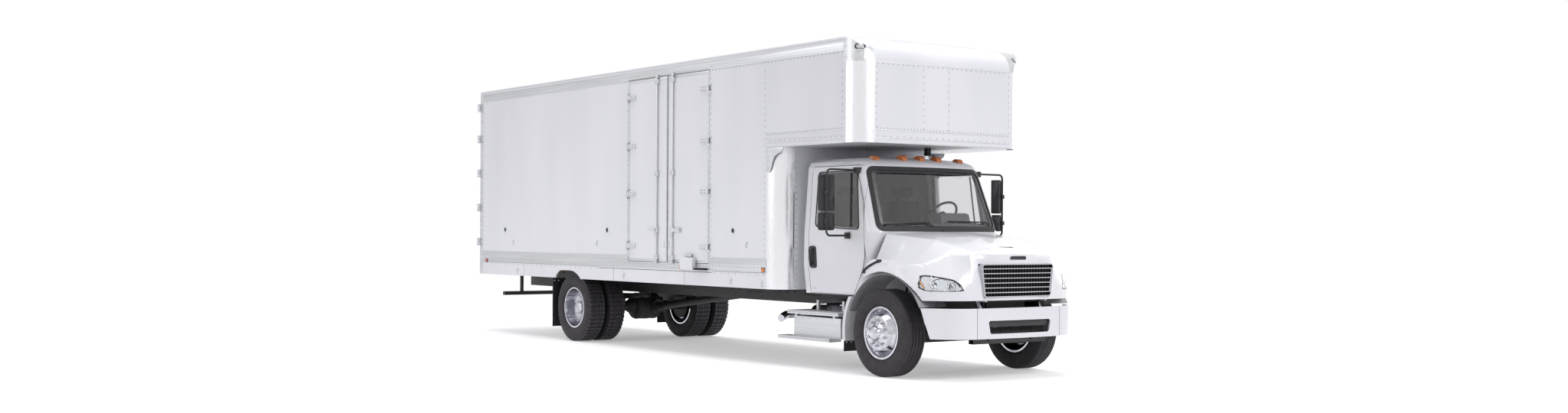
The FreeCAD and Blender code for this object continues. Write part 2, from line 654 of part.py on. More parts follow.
def mirror():
    """Driver's side mirror: a tube hoop on the door carrying a flat and a round-edged head."""
    x = 1390.0
    y = 695.0
    hoop = bent_tube([V(905, 690, 2349), V(x, y, 2349), V(x, y, 1585), V(960, 766, 1585)], 12, 55)
    feet = [box(900, 985, 650, 716, 2312, 2380), box(960, 1040, 735, 805, 1550, 1622)]
    pieces = [hoop, *feet]
    for z0, z1, deep in ((1868, 2286, 100), (1645, 1850, 92)):
        head = box(x - 94, x + 94, y + 20, y + 20 + deep, z0, z1)
        head = head.makeFillet(28, [e for e in head.Edges if abs(e.tangentAt(e.FirstParameter).y) > 0.9])
        middle = (z0 + z1) / 2
        arm = box(x - 20, x + 20, y - 6, y + 30, middle - 20, middle + 20)
        for piece in (head, arm):
            piece.rotate(V(x, y, 0), V(0, 0, 1), MIRROR_TURN)
            pieces.append(piece)
    return fuse(*pieces).cut(cab_volume(0.0))


DASH_HALF_WIDTH = 900.0        # leaves the cab doors room to swing


def cab_inside():
    tub = side_prism([(300, 1300), (300, 1640), (560, 1735), (700, 1745), (800, 1690), (815, 1480),
                      (700, 1300)], -DASH_HALF_WIDTH, DASH_HALF_WIDTH)
    hump = side_prism([(500, 1700), (540, 1835), (610, 1862, 680, 1835), (715, 1700)], 220, 680)
    room = cab_volume(CAB_WALL).cut(box(-1200, 1200, -500, 3000, 800, CAB_FLOOR))
    glass = cab_volume(14.0)
    dash = fuse(tub, hump).common(room).common(glass)
    column = tube_between(V(STEERING_WHEEL.x, 640, STEERING_WHEEL.z - 110), STEERING_WHEEL - STEER_AXIS * 34, 38)
    export("dashboard", fuse(dash, column))
    seats = []
    for x in (-470, 470):
        base = box(x - 200, x + 200, 980, 1400, CAB_FLOOR, 1330)
        cushion = box(x - 250, x + 250, 935, 1440, 1330, 1480)
        back = side_prism([(1330, 1480), (1440, 1480), (1535, 2040), (1525, 2057, 1505, 2060), (1440, 2060)],
                          x - 240, x + 240)
        head = box(x - 130, x + 130, 1445, 1525, 2060, 2190)
        seats += [base, cushion, back, head]
    export("cab_seats", *seats)


STEERING_WHEEL = V(450, 780, 1830)
STEER_AXIS = V(0, 0.766, 0.643)


def steering_wheel():
    ring = Part.makeTorus(212, 15, STEERING_WHEEL, STEER_AXIS)
    hub = Part.makeCylinder(62, 40, STEERING_WHEEL - STEER_AXIS * 28, STEER_AXIS)
    spokes = []
    across = V(1, 0, 0)
    down = STEER_AXIS.cross(across)
    for direction in (across, across * -1, down):
        spokes.append(tube_between(STEERING_WHEEL, STEERING_WHEEL + direction * 212, 11))
    return fuse(ring, hub, *spokes)


ROOF_LAMPS = [(0, 683, 2524), (-271, 687, 2524), (271, 687, 2524), (-660, 731, 2508), (660, 731, 2508)]


def roof_lamps():
    lamps = []
    outer = cab_volume(0.0)
    for x, y, z in ROOF_LAMPS:
        lamp = side_prism([(y - 60, z - 60), (y - 62, z - 20), (y - 40, z + 8, y + 10, z + 16),
                           (y + 60, z - 5), (y + 60, z - 60)], x - 38, x + 38)
        lamps.append(lamp.cut(outer))
    export("roof_lamps", *lamps)


# ---- hood and front end -------------------------------------------------------------
HOOD_SECTIONS = [
    # Y, top at the centre, shoulder half width, shoulder height, fender top, fender half width
    (-1010.0, 1378.0, 560.0, 1335.0, 1120.0, 1120.0),
    (-880.0, 1442.0, 590.0, 1402.0, 1165.0, 1170.0),
    (-700.0, 1500.0, 640.0, 1465.0, 1215.0, 1200.0),
    (-400.0, 1575.0, 700.0, 1543.0, 1260.0, 1200.0),
    (250.0, 1640.0, 860.0, 1608.0, 1290.0, 1200.0),
]


def hood_wire(y, top, shoulder, shoulder_z, fender, half, inset):
    t = inset
    bottom = HOOD_BOTTOM - 90
    fender_x = max(shoulder + 60, half - 190)
    return outline([V(-shoulder + t, y, shoulder_z - t), (V(0, y, top - t), V(shoulder - t, y, shoulder_z - t)),
                    V(fender_x - t, y, fender + 30 - t),
                    (V(half - 40 - t, y, fender - 30 - t), V(half - t, y, fender - 130)),
                    V(half - t, y, bottom), V(-half + t, y, bottom), V(-half + t, y, fender - 130),
                    (V(-half + 40 + t, y, fender - 30 - t), V(-fender_x + t, y, fender + 30 - t))])


HOOD_RIM = [
    # X, Y, the outward direction there and the share of the set-back it takes, from side to front
    (1200.0, -150.0, 1.0, 0.0, 0.0),
    (1182.0, -390.0, 0.98, -0.18, 0.35),
    (1110.0, -600.0, 0.87, -0.5, 0.9),
    (1010.0, -765.0, 0.77, -0.64, 1.0),
    (860.0, -890.0, 0.5, -0.87, 1.0),
    (760.0, -940.0, 0.35, -0.94, 0.8),
    (640.0, -965.0, 0.15, -0.99, 0.4),
]
HOOD_LEVELS = [(700.0, 0.0), (1000.0, 0.0), (1070.0, 20.0), (1141.0, 58.0), (1218.0, 105.0), (1424.0, 228.0),
               (1750.0, 330.0)]       # how far the front corners are set back at each height


def hood_plan(inset, back):
    """The hood's rim seen from above, from the kerb side round the front, as arcs."""
    right = [(x - (inset + back * share) * nx, y - (inset + back * share) * ny)
             for x, y, nx, ny, share in HOOD_RIM]
    left = [(-x, y) for x, y in right]
    return [left[0], left[1] + left[2], left[3] + left[4], left[5] + left[6],
            (0, HOOD_FRONT + inset) + right[6], right[5] + right[4], right[3] + right[2], right[1] + right[0]]


def hood_volume(inset):
    wires = []
    for y, top, shoulder, shoulder_z, fender, half in HOOD_SECTIONS:
        place = y + 10 if y == HOOD_SECTIONS[-1][0] and inset else y
        wires.append(hood_wire(place, top, shoulder, shoulder_z, fender, half, inset))
    body = Part.makeLoft(wires, True, True)
    side = FENDER_X - inset
    rims = []
    for z, back in HOOD_LEVELS:
        steps = hood_plan(inset, back) + [(side, 400), (-side, 400)]
        rims.append(outline([plan_step(step, z) for step in steps]))
    plan = Part.makeLoft(rims, True, True)
    plan = plan.cut(box(-2000, 2000, -2000, 2000, 0, HOOD_BOTTOM - inset * 3))
    return body.common(plan)


GRILLE = (552.0, 510.0, 914.0, 1283.0)     # half width at the top, at the bottom, low, high
GRILLE_CORNER = 38.0
GRILLE_BARS = 6
HEADLAMP = [(-1106.0, 1069.0), (-1069.0, 1151.0), (-1033.0, 1160.0), (-951.0, 1140.0), (-833.0, 1111.0),
            (-780.0, 1053.0), (-756.0, 990.0), (-863.0, 982.0), (-1013.0, 984.0), (-1087.0, 991.0),
            (-1112.0, 1019.0)]


def grille_block(grow, y0, y1):
    """The grille opening as a solid with rounded corners, between two Y planes."""
    top, low, z0, z1 = GRILLE
    block = front_prism([(-low - grow, z0 - grow), (low + grow, z0 - grow), (top + grow, z1 + grow),
                         (-top - grow, z1 + grow)], y0, y1)
    corners = [e for e in block.Edges if abs(e.tangentAt(e.FirstParameter).y) > 0.9]
    return block.makeFillet(GRILLE_CORNER + grow, corners)


EAR_X = (448.0, 472.0)
EAR_LEAN = 30.0                # degrees the foot of a hinge ear leans to the rear
EAR_REACH = 172.0


def hood_ear():
    """Swan-neck hinge ear that passes over the bumper when the hood tips."""
    x0, x1 = EAR_X
    y, z = HOOD_PIVOT_Y, HOOD_PIVOT_Z
    foot = cylinder_x(30, x0, x1, y, z)
    leg = box(x0, x1, y - 15, y + 15, z, z + EAR_REACH + 40)
    leg.rotate(V(0, y, z), V(1, 0, 0), -EAR_LEAN)
    neck = box(x0, x1, -975, y + EAR_REACH * math.sin(math.radians(EAR_LEAN)) + 12, z + 166, z + 200)
    return fuse(foot, leg, neck).cut(cylinder_x(PIVOT_R + SEAT_GAP, x0 - 5, x1 + 5, y, z))


def hood():
    outer = hood_volume(0.0)
    shell = outer.cut(hood_volume(HOOD_SKIN))
    arch = Part.makeCompound(both_sides(cylinder_x(ARCH_R, 740, 1300, ARCH_Y, WHEEL_Z)))
    shell = shell.cut(arch)
    cab_gap = cab_volume(-8.0)
    shell = shell.cut(cab_gap)
    shell = shell.cut(grille_block(0, -1100, -700))
    lamp_face = front_prism(HEADLAMP, -1100, -420)
    openings = both_sides(lamp_face)
    for opening in openings:
        shell = shell.cut(opening)
    shell = biggest(shell)
    ears = both_sides(hood_ear())
    sill = outer.common(box(-520, 520, HOOD_FRONT - 10, -935, HOOD_BOTTOM + 4, 908))
    shell = fuse(shell, sill, *ears)
    export("hood", shell)

    lamps = []
    lens = outer.cut(hood_volume(8.0))
    for side, opening in zip((-1, 1), openings):
        grown = front_prism([(side * -x, z) for x, z in lamp_loop(-SEAT_GAP)], -1100, -420)
        pane = biggest(lens.common(grown))
        lamps.append(pane)
    export("headlamps", *lamps)

    rim = grille_block(-SEAT_GAP, -1004, -940).cut(grille_block(-12, -1010, -930))
    inside = grille_block(-2, -1100, -900)
    low, high = GRILLE[2], GRILLE[3]
    bars = []
    for i in range(GRILLE_BARS):
        z = low + (i + 1) * (high - low) / (GRILLE_BARS + 1)
        bars.append(box(-600, 600, -996, -972, z - 5, z + 5).common(inside))
    export("grille", fuse(rim, *bars))


def lamp_loop(grow):
    cx = sum(p[0] for p in HEADLAMP) / len(HEADLAMP)
    cz = sum(p[1] for p in HEADLAMP) / len(HEADLAMP)
    loop = []
    for x, z in HEADLAMP:
        d = math.hypot(x - cx, z - cz)
        loop.append((-(x + (x - cx) / d * grow), z + (z - cz) / d * grow))
    return loop


def biggest(shape):
    return max(shape.Solids, key=lambda s: s.Volume)


def arch_band(inner_r, outer_r, low_z, x0, x1):
    """A band bent over the wheel, between two radii and above a height."""
    rise = low_z - WHEEL_Z
    outer = math.sqrt(outer_r ** 2 - rise ** 2)
    inner = math.sqrt(inner_r ** 2 - rise ** 2)
    return side_prism([(ARCH_Y - outer, low_z), (ARCH_Y, WHEEL_Z + outer_r, ARCH_Y + outer, low_z),
                       (ARCH_Y + inner, low_z), (ARCH_Y, WHEEL_Z + inner_r, ARCH_Y - inner, low_z)], x0, x1)


def fender_parts():
    liner = arch_band(ARCH_R - 28, ARCH_R - 20, WHEEL_Z + 220, 760, 1150)
    liner = liner.cut(box(700, 1300, -900, -400, 600, BUMPER_TOP + 8))
    post = box(745, 765, ARCH_Y - 40, ARCH_Y + 40, 940, WHEEL_Z + ARCH_R - 24)
    arms = box(RAIL_X, 750, ARCH_Y - 40, ARCH_Y + 40, 940, 970)
    export("fender_liners", *both_sides(fuse(liner, arms, post)))
    quarter = arch_band(ARCH_R, ARCH_R + 45, QUARTER_LOW, 960, 1165).common(box(900, 1300, 300, 1000, 300, 885))
    stay = box(RAIL_X, 970, 588, 618, 740, 780)
    export("quarter_fenders", *both_sides(fuse(quarter, stay)))


BUMPER_TOP = 798.0
BUMPER_BOTTOM = 462.0
BUMPER_SEAM_X = 634.0


BUMPER_OUTSIDE = [(634.0, -1020.0), (830.0, -962.0), (960.0, -832.0), (1042.0, -727.0), (1112.0, -623.0)]
BUMPER_INSIDE = [(634.0, -1000.0), (820.0, -943.0), (945.0, -818.0), (1025.0, -714.0), (1096.0, -611.0)]
BUMPER_FRONT = -1050.0
BUMPER_WALL = 20.0


def bumper_line(points, middle):
    """A bumper face seen from above, from the driver's end to the kerb end, as arcs."""
    seam, bend, corner, sweep, end = points
    right = [end, sweep + corner, bend + seam]
    return right + [(0, middle, -seam[0], seam[1]), (-bend[0], bend[1], -corner[0], corner[1])] + [
        (-sweep[0], sweep[1], -end[0], end[1])]


def bumper_inside(z0, z1):
    """All the space in front of the bumper's inner face."""
    line = bumper_line(BUMPER_INSIDE, BUMPER_FRONT + BUMPER_WALL)
    return plan_prism(line + [(-1400, -1400), (1400, -1400)], z0, z1)


def bumper():
    front = bumper_line(BUMPER_OUTSIDE, BUMPER_FRONT)
    back = [tuple(-v if i % 2 == 0 else v for i, v in enumerate(p))
            for p in bumper_line(BUMPER_INSIDE, BUMPER_FRONT + BUMPER_WALL)]
    shell = plan_prism(front + back, BUMPER_BOTTOM, BUMPER_TOP)
    air = front_prism([(-450, 516), (450, 516), (480, 660), (-480, 660)], -1100, -900)
    air = air.makeFillet(24, [e for e in air.Edges if abs(e.tangentAt(e.FirstParameter).y) > 0.9])
    shell = shell.cut(air)
    shell = shell.cut(side_prism([(-623, 798), (-620, 810), (-400, 810), (-400, 450), (-718, 450)], -1300, 1300))
    for side in (-1, 1):
        seam = side * BUMPER_SEAM_X
        shell = shell.cut(box(seam - 3, seam + 3, -1100, -900, 400, 900))
    export("bumper", *shell.Solids)


# ---- van body -----------------------------------------------------------------------
def box_floor():
    inner = BODY_HALF_WIDTH - BODY_WALL
    front = BULKHEAD_FRONT + BODY_WALL
    cut = front + CORNER_LEG - BODY_WALL
    side = BODY_HALF_WIDTH - CORNER_LEG
    deck = plan_prism([(-side, front), (side, front), (inner, cut), (inner, REAR_FRAME_FRONT),
                       (-inner, REAR_FRAME_FRONT), (-inner, cut)], FLOOR_TOP - DECK_THICKNESS, FLOOR_TOP)
    deck = deck.cut(box(-BODY_HALF_WIDTH, -BODY_HALF_WIDTH + DOOR_THICKNESS + DOOR_BEHIND, SIDE_DOOR_FRONT,
                        SIDE_DOOR_REAR, SIDE_DOOR_BOTTOM, SIDE_DOOR_TOP))
    beam_top = FLOOR_TOP - DECK_THICKNESS
    beam_low = beam_top - CROSS_BEAM_HEIGHT
    beams = []
    y = cut + 30
    while y < REAR_FRAME_FRONT - 60:
        beams.append(box(-inner, inner, y, y + 50, beam_low, beam_top))
        y += 500
    sills = [box(s * 385 - 45, s * 385 + 45, front, REAR_FRAME_FRONT, FRAME_TOP, beam_low)
             for s in (-1, 1)]
    export("box_floor", fuse(deck, *beams, *sills))


def side_wall_solid():
    x0 = BODY_HALF_WIDTH - BODY_WALL
    front = NOSE_FRONT + CORNER_LEG
    low_front = BULKHEAD_FRONT + CORNER_LEG
    cap_low = BODY_EDGE_Z - ROOF_RADIUS
    cap_rear = NOSE_FRONT + ROOF_RADIUS
    return side_prism([(front, NOSE_BOTTOM), (low_front, NOSE_BOTTOM), (low_front, PANEL_BOTTOM),
                       (REAR_FRAME_FRONT, PANEL_BOTTOM), (REAR_FRAME_FRONT, BODY_EDGE_Z), (cap_rear, BODY_EDGE_Z),
                       (cap_rear, cap_low), (front, cap_low)], x0, BODY_HALF_WIDTH)


def wall_side_brackets():
    """The wall's half of each side-door hinge."""
    pieces = []
    for pin_y, away in ((SIDE_DOOR_FRONT - 12, -1), (SIDE_DOOR_REAR + 12, 1)):
        for z in SIDE_HINGES:
            for dz in (-62, 37):
                knuckle_piece = cylinder_z(PIN_R + 6, z + dz, z + dz + 25, -BODY_HALF_WIDTH - SIDE_PIN_OUT, pin_y)
                leaf = box(-BODY_HALF_WIDTH - SIDE_PIN_OUT, -BODY_HALF_WIDTH + 5,
                           min(pin_y, pin_y + away * 30) - 4, max(pin_y, pin_y + away * 30) + 4,
                           z + dz, z + dz + 25)
                pieces += [knuckle_piece, leaf]
            pieces.append(cylinder_z(PIN_R, z - 62, z + 62, -BODY_HALF_WIDTH - SIDE_PIN_OUT, pin_y))
    return pieces


SIDE_HINGES = [1425.0, 2136.0, 2788.0, 3462.0]
REAR_HINGES = [1440.0, 1990.0, 2545.0, 3095.0, 3600.0]


def side_walls():
    left = side_wall_solid()
    export("side_wall_left", left)
    gap = RUNNING_GAP
    opening = box(-BODY_HALF_WIDTH - 10, -BODY_HALF_WIDTH + BODY_WALL + 10, SIDE_DOOR_FRONT - gap,
                  SIDE_DOOR_REAR + gap, PANEL_BOTTOM - 50, SIDE_DOOR_TOP + gap)
    right = mirrored(left).cut(opening)
    export("side_wall_right", fuse(right, *wall_side_brackets()))


def roof():
    edge = BODY_HALF_WIDTH
    z = BODY_EDGE_Z
    y0 = NOSE_FRONT + ROOF_RADIUS
    sheet = front_prism([(-edge, z), (edge, z), (edge, z + 4), (0, z + ROOF_CROWN, -edge, z + 4)],
                        y0, REAR_FRAME_FRONT)
    bows = []
    inner = BODY_HALF_WIDTH - BODY_WALL
    y = y0 + 200
    while y < REAR_FRAME_FRONT - 60:
        bows.append(box(-inner, inner, y, y + 40, z - ROOF_THICKNESS, z + 2))
        y += 610
    export("box_roof", fuse(sheet, *bows))


def corner_post(front_y, z0, z1):
    """A rounded upright that joins a side wall to the front wall beside it."""
    x = BODY_HALF_WIDTH
    r = CORNER_LEG
    t = 8.0
    k = math.sqrt(0.5)
    return plan_prism([(x, front_y + r), (x - r + r * k, front_y + r - r * k, x - r, front_y), (x - r, front_y + t),
                       (x - r + (r - t) * k, front_y + r - (r - t) * k, x - t, front_y + r)], z0, z1)


def nose():
    x = BODY_HALF_WIDTH - CORNER_LEG
    t = BODY_WALL
    y = NOSE_FRONT
    r = ROOF_RADIUS
    k = math.sqrt(0.5)
    top = BODY_EDGE_Z
    low = top - r
    shape = side_prism([(y, NOSE_BOTTOM), (y, low), (y + r - r * k, low + r * k, y + r, top),
                        (y + r, top - 8), (y + r - (r - 8) * k, low + (r - 8) * k, y + 8, low),
                        (y + 8, low - 60), (y + t, low - 60), (y + t, NOSE_BOTTOM)], -x, x)
    export("nose_front", shape)
    floor = plan_prism([(-BODY_HALF_WIDTH + BODY_WALL, y + CORNER_LEG), (-x, y + t), (x, y + t),
                        (BODY_HALF_WIDTH - BODY_WALL, y + CORNER_LEG),
                        (BODY_HALF_WIDTH - BODY_WALL, BULKHEAD_FRONT + BODY_WALL),
                        (-BODY_HALF_WIDTH + BODY_WALL, BULKHEAD_FRONT + BODY_WALL)],
                       NOSE_BOTTOM, NOSE_BOTTOM + NOSE_FLOOR_THICKNESS)
    export("nose_floor", floor)
    front = box(-x, x, BULKHEAD_FRONT, BULKHEAD_FRONT + BODY_WALL, SKIRT_BOTTOM, NOSE_BOTTOM)
    front = front.cut(box(-RAIL_X - 10, RAIL_X + 10, BULKHEAD_FRONT - 1, BULKHEAD_FRONT + BODY_WALL + 1, 800, FRAME_TOP + 5))
    export("bulkhead", front)
    posts = both_sides(corner_post(y, NOSE_BOTTOM, low))
    posts += both_sides(corner_post(BULKHEAD_FRONT, SKIRT_BOTTOM, NOSE_BOTTOM))
    export("corner_posts", *posts)
    export("corner_caps", *both_sides(corner_cap()))


def corner_cap():
    """Cast cap on an upper nose corner: round in plan and from the side."""
    r = CORNER_LEG
    top = BODY_EDGE_Z
    low = top - ROOF_RADIUS
    x = BODY_HALF_WIDTH
    y = NOSE_FRONT
    k = math.sqrt(0.5)
    plan = plan_prism([(x, y + r), (x - r + r * k, y + r - r * k, x - r, y), (x - r, y + ROOF_RADIUS),
                       (x, y + ROOF_RADIUS)], low, top)
    g = ROOF_RADIUS
    profile = side_prism([(y, low), (y + g - g * k, low + g * k, y + g, top), (y + g, low)], x - r, x)
    solid = plan.common(profile)
    hollow_plan = plan_prism([(x - 8, y + r), (x - r + (r - 8) * k, y + r - (r - 8) * k, x - r, y + 8),
                              (x - r - 1, y + 8), (x - r - 1, y + g + 1), (x - 8, y + g + 1)], low - 1, top - 8)
    hollow_profile = side_prism([(y + 8, low - 1), (y + 8, low), (y + g - (g - 8) * k, low + (g - 8) * k, y + g, top - 8),
                                 (y + g + 1, top - 8), (y + g + 1, low - 1)], x - r - 1, x)
    return solid.cut(hollow_plan.common(hollow_profile))


def body_rails():
    x = BODY_HALF_WIDTH
    inner = BODY_HALF_WIDTH - BODY_WALL
    front = BULKHEAD_FRONT + CORNER_LEG
    rail = box(inner, x + 3, front, REAR_FRAME_FRONT, RAIL_BOTTOM, PANEL_BOTTOM)
    right = mirrored(rail)
    right = right.cut(box(-x - 10, -inner + 10, SIDE_DOOR_FRONT - RUNNING_GAP, SIDE_DOOR_REAR + RUNNING_GAP,
                          SIDE_DOOR_BOTTOM - RUNNING_GAP, PANEL_BOTTOM + 5))
    export("bottom_rails", rail, right)
    arch_a = WHEELBASE - 350
    arch_b = WHEELBASE + 435
    skirt = side_prism([(front, SKIRT_BOTTOM), (arch_a, SKIRT_BOTTOM), (arch_a + 60, 1050),
                        (arch_b - 60, 1050), (arch_b, SKIRT_BOTTOM), (REAR_FRAME_FRONT, SKIRT_BOTTOM),
                        (REAR_FRAME_FRONT, RAIL_BOTTOM), (front, RAIL_BOTTOM)], x - 28, x)
    export("skirts", *both_sides(skirt))


def rear_frame():
    x = BODY_HALF_WIDTH
    w = REAR_POST_WIDTH
    y0 = REAR_FRAME_FRONT
    y1 = BODY_REAR
    top = BODY_EDGE_Z
    frame = box(-x, x, y0, y1, SKIRT_BOTTOM, top)
    frame = frame.cut(box(-x + w, x - w, y0 - 1, y1 + 1, FLOOR_TOP, top - REAR_HEADER_HEIGHT))
    frame = frame.cut(box(-x + w, x - w, y0 - 1, y1 + 1, SKIRT_BOTTOM - 1, FLOOR_TOP - 150))
    brackets = []
    for side in (-1, 1):
        px = side * (x + REAR_PIN_OUT)
        py = y1 + REAR_PIN_BACK
        for z in REAR_HINGES:
            for dz in (-62, 37):
                brackets.append(cylinder_z(PIN_R + 6, z + dz, z + dz + 25, px, py))
                brackets.append(box(min(px, side * (x - 5)), max(px, side * (x - 5)), y1 - 40, py, z + dz, z + dz + 25))
            brackets.append(cylinder_z(PIN_R, z - 62, z + 62, px, py))
    export("rear_frame", fuse(frame, *brackets))


def side_door(front_leaf):
    middle = (SIDE_DOOR_FRONT + SIDE_DOOR_REAR) / 2
    if front_leaf:
        y0, y1 = SIDE_DOOR_FRONT, middle - RUNNING_GAP / 2
        pin_y, edge, rod_y = SIDE_DOOR_FRONT - 12, 1, 4120.0
    else:
        y0, y1 = middle + RUNNING_GAP / 2, SIDE_DOOR_REAR
        pin_y, edge, rod_y = SIDE_DOOR_REAR + 12, -1, 4510.0
    x = -BODY_HALF_WIDTH
    leaf = box(x, x + DOOR_THICKNESS, y0, y1, SIDE_DOOR_BOTTOM, SIDE_DOOR_TOP)
    pieces = [leaf]
    for z in SIDE_HINGES:
        pieces.append(cylinder_z(PIN_R + 6, z - 32, z + 32, x - SIDE_PIN_OUT, pin_y))
        strap_y = sorted([pin_y, pin_y + edge * 190])
        pieces.append(box(x - SIDE_PIN_OUT + 4, x - SIDE_PIN_OUT + 14, strap_y[0], strap_y[1], z - 32, z + 32))
        pad_y = sorted([pin_y + edge * 30, pin_y + edge * 190])
        pieces.append(box(x - SIDE_PIN_OUT + 4, x + 1, pad_y[0], pad_y[1], z - 32, z + 32))
    pieces.append(cylinder_z(12, SIDE_DOOR_BOTTOM - 20, SIDE_DOOR_TOP + 30, x - 20, rod_y))
    for z in (SIDE_DOOR_BOTTOM + 60, 1640, 2400, SIDE_DOOR_TOP - 60):
        pieces.append(box(x - 34, x + 1, rod_y - 40, rod_y + 40, z - 30, z + 30))
    handle_y = sorted([rod_y, rod_y - edge * 190])
    pieces.append(box(x - 42, x - 30, handle_y[0], handle_y[1], 1622, 1658))
    body = fuse(*pieces)
    bores = [cylinder_z(PIN_R + 0.4, z - 40, z + 40, x - SIDE_PIN_OUT, pin_y) for z in SIDE_HINGES]
    for bore in bores:
        body = body.cut(bore)
    return body


def rear_door():
    """The driver's side rear door; the kerb side is its mirror image."""
    x1 = BODY_HALF_WIDTH - REAR_POST_WIDTH - RUNNING_GAP
    y1 = BODY_REAR
    z0 = FLOOR_TOP + RUNNING_GAP
    z1 = BODY_EDGE_Z - REAR_HEADER_HEIGHT - RUNNING_GAP
    pin_x = BODY_HALF_WIDTH + REAR_PIN_OUT
    pin_y = BODY_REAR + REAR_PIN_BACK
    pieces = [box(RUNNING_GAP / 2, x1, y1 - DOOR_THICKNESS, y1, z0, z1)]
    for z in REAR_HINGES:
        pieces.append(cylinder_z(PIN_R + 6, z - 32, z + 32, pin_x, pin_y))
        pieces.append(box(x1 - 150, pin_x, y1 + RUNNING_GAP, y1 + RUNNING_GAP + 9, z - 32, z + 32))
        pieces.append(box(x1 - 150, x1 - 5, y1 - 1, y1 + RUNNING_GAP + 9, z - 32, z + 32))
    for rod_x in (250.0, 900.0):
        pieces.append(cylinder_z(12, z0 - 90, z1 + 90, rod_x, y1 + 20))
        for z in (z0 + 60, 1700, 2400, z1 - 60):
            pieces.append(box(rod_x - 40, rod_x + 40, y1 - 1, y1 + 34, z - 30, z + 30))
    pieces.append(box(250, 520, y1 + 28, y1 + HARDWARE_DEPTH, 1682, 1718))
    body = fuse(*pieces)
    for z in REAR_HINGES:
        body = body.cut(cylinder_z(PIN_R + 0.4, z - 40, z + 40, pin_x, pin_y))
    return body


def door_step():
    """Step hung on the front leaf of the side door, clear of the rail behind it."""
    face = -BODY_HALF_WIDTH
    back = face - 9
    tray = box(back - 55, back, 3560, 3860, 1125, 1285).cut(box(back - 47, back - 8, 3568, 3852, 1133, 1290))
    pads = [box(back, face, y, y + 60, 1225, 1280) for y in (3580, 3780)]
    export("door_step", fuse(tray, *pads))


def build():
    frame_rails()
    crossmembers()
    front_axle()
    stub = knuckle()
    export("knuckle_left", stub)
    export("knuckle_right", mirrored(stub))
    export("tie_rod", tie_rod())
    rear_axle()
    leaf_springs()
    driveshaft()
    engine()
    radiator()
    exhaust()
    fuel_tank()
    step_box()
    mud_flaps()
    underride_guard()
    wheels()
    cab()
    hoop = mirror()
    export("mirror_left", hoop)
    export("mirror_right", mirrored(hoop))
    cab_inside()
    export("steering_wheel", steering_wheel())
    roof_lamps()
    hood()
    fender_parts()
    bumper()
    box_floor()
    side_walls()
    roof()
    nose()
    body_rails()
    rear_frame()
    export("side_door_front", side_door(True))
    export("side_door_rear", side_door(False))
    back = rear_door()
    export("rear_door_left", back)
    export("rear_door_right", mirrored(back))
    door_step()


build()
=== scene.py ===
import bpy
import json
import math
from mathutils import Matrix, Vector
from mathutils.bvhtree import BVHTree

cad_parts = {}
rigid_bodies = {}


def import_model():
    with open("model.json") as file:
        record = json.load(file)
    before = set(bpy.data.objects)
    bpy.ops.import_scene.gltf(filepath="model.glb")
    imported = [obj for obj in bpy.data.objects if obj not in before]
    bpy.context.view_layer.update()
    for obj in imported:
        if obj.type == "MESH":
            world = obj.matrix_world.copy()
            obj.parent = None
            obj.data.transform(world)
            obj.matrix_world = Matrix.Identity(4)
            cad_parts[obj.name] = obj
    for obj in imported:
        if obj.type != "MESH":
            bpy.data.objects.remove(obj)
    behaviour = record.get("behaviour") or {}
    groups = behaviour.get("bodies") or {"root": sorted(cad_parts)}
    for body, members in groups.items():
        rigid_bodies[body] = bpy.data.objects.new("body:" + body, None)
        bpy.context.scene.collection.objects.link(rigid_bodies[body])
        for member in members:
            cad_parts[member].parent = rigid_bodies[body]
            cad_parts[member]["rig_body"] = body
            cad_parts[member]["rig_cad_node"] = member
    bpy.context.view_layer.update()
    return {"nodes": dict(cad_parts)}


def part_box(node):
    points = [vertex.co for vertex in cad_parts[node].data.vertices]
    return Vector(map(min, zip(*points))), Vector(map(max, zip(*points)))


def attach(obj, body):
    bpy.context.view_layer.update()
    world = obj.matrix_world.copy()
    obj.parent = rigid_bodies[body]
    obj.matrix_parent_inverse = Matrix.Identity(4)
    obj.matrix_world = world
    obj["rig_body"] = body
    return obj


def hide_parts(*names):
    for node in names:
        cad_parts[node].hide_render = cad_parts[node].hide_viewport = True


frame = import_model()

NODES = frame["nodes"]
SIDES = (("left", 1), ("right", -1))       # +X is the driver's side, the left
CORNERS = ((-1, -1), (1, -1), (1, 1), (-1, 1))


# ---- places -------------------------------------------------------------------------
# Millimetres, X across the truck, Y 0 at the front axle and growing to the rear, Z from the
# floor. at() turns them into the frame's metres.
def middle_y(node):
    low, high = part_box(node)
    return (low[1] + high[1]) / 2


FRONT_AXLE = middle_y("front_tyre_left")
WHEELBASE = round((middle_y("rear_tyres_left") - FRONT_AXLE) * 1000)
WHEEL_Z = 495
WALL_X = 1295                  # outer face of the side walls
BODY_REAR = 9950               # outer face of the rear doors
MIRROR_TURN = 34.0             # degrees that the mirror heads face inwards
AHEAD = -1300                  # a start in front of the truck for a line that looks back at it


def at(x, y, z):
    return Vector((x / 1000, y / 1000 + FRONT_AXLE, z / 1000))


# ---- colours and nodes --------------------------------------------------------------
def linear(hex_colour):
    """Linear RGBA from an sRGB hex value."""
    parts = [int(hex_colour[i:i + 2], 16) / 255 for i in (0, 2, 4)]
    return tuple(p / 12.92 if p <= 0.04045 else ((p + 0.055) / 1.055) ** 2.4 for p in parts) + (1.0,)


def add(tree, kind, settings=None, links=None):
    """A node of that kind with its settings and its links."""
    node = tree.nodes.new("ShaderNode" + kind)
    for name, value in (settings or {}).items():
        if isinstance(name, str) and hasattr(node, name):
            setattr(node, name, value)
        else:
            node.inputs[name].default_value = value
    for name, socket in (links or {}).items():
        tree.links.new(socket, node.inputs[name])
    return node


def own_place(tree):
    return add(tree, "TexCoord").outputs["Object"]


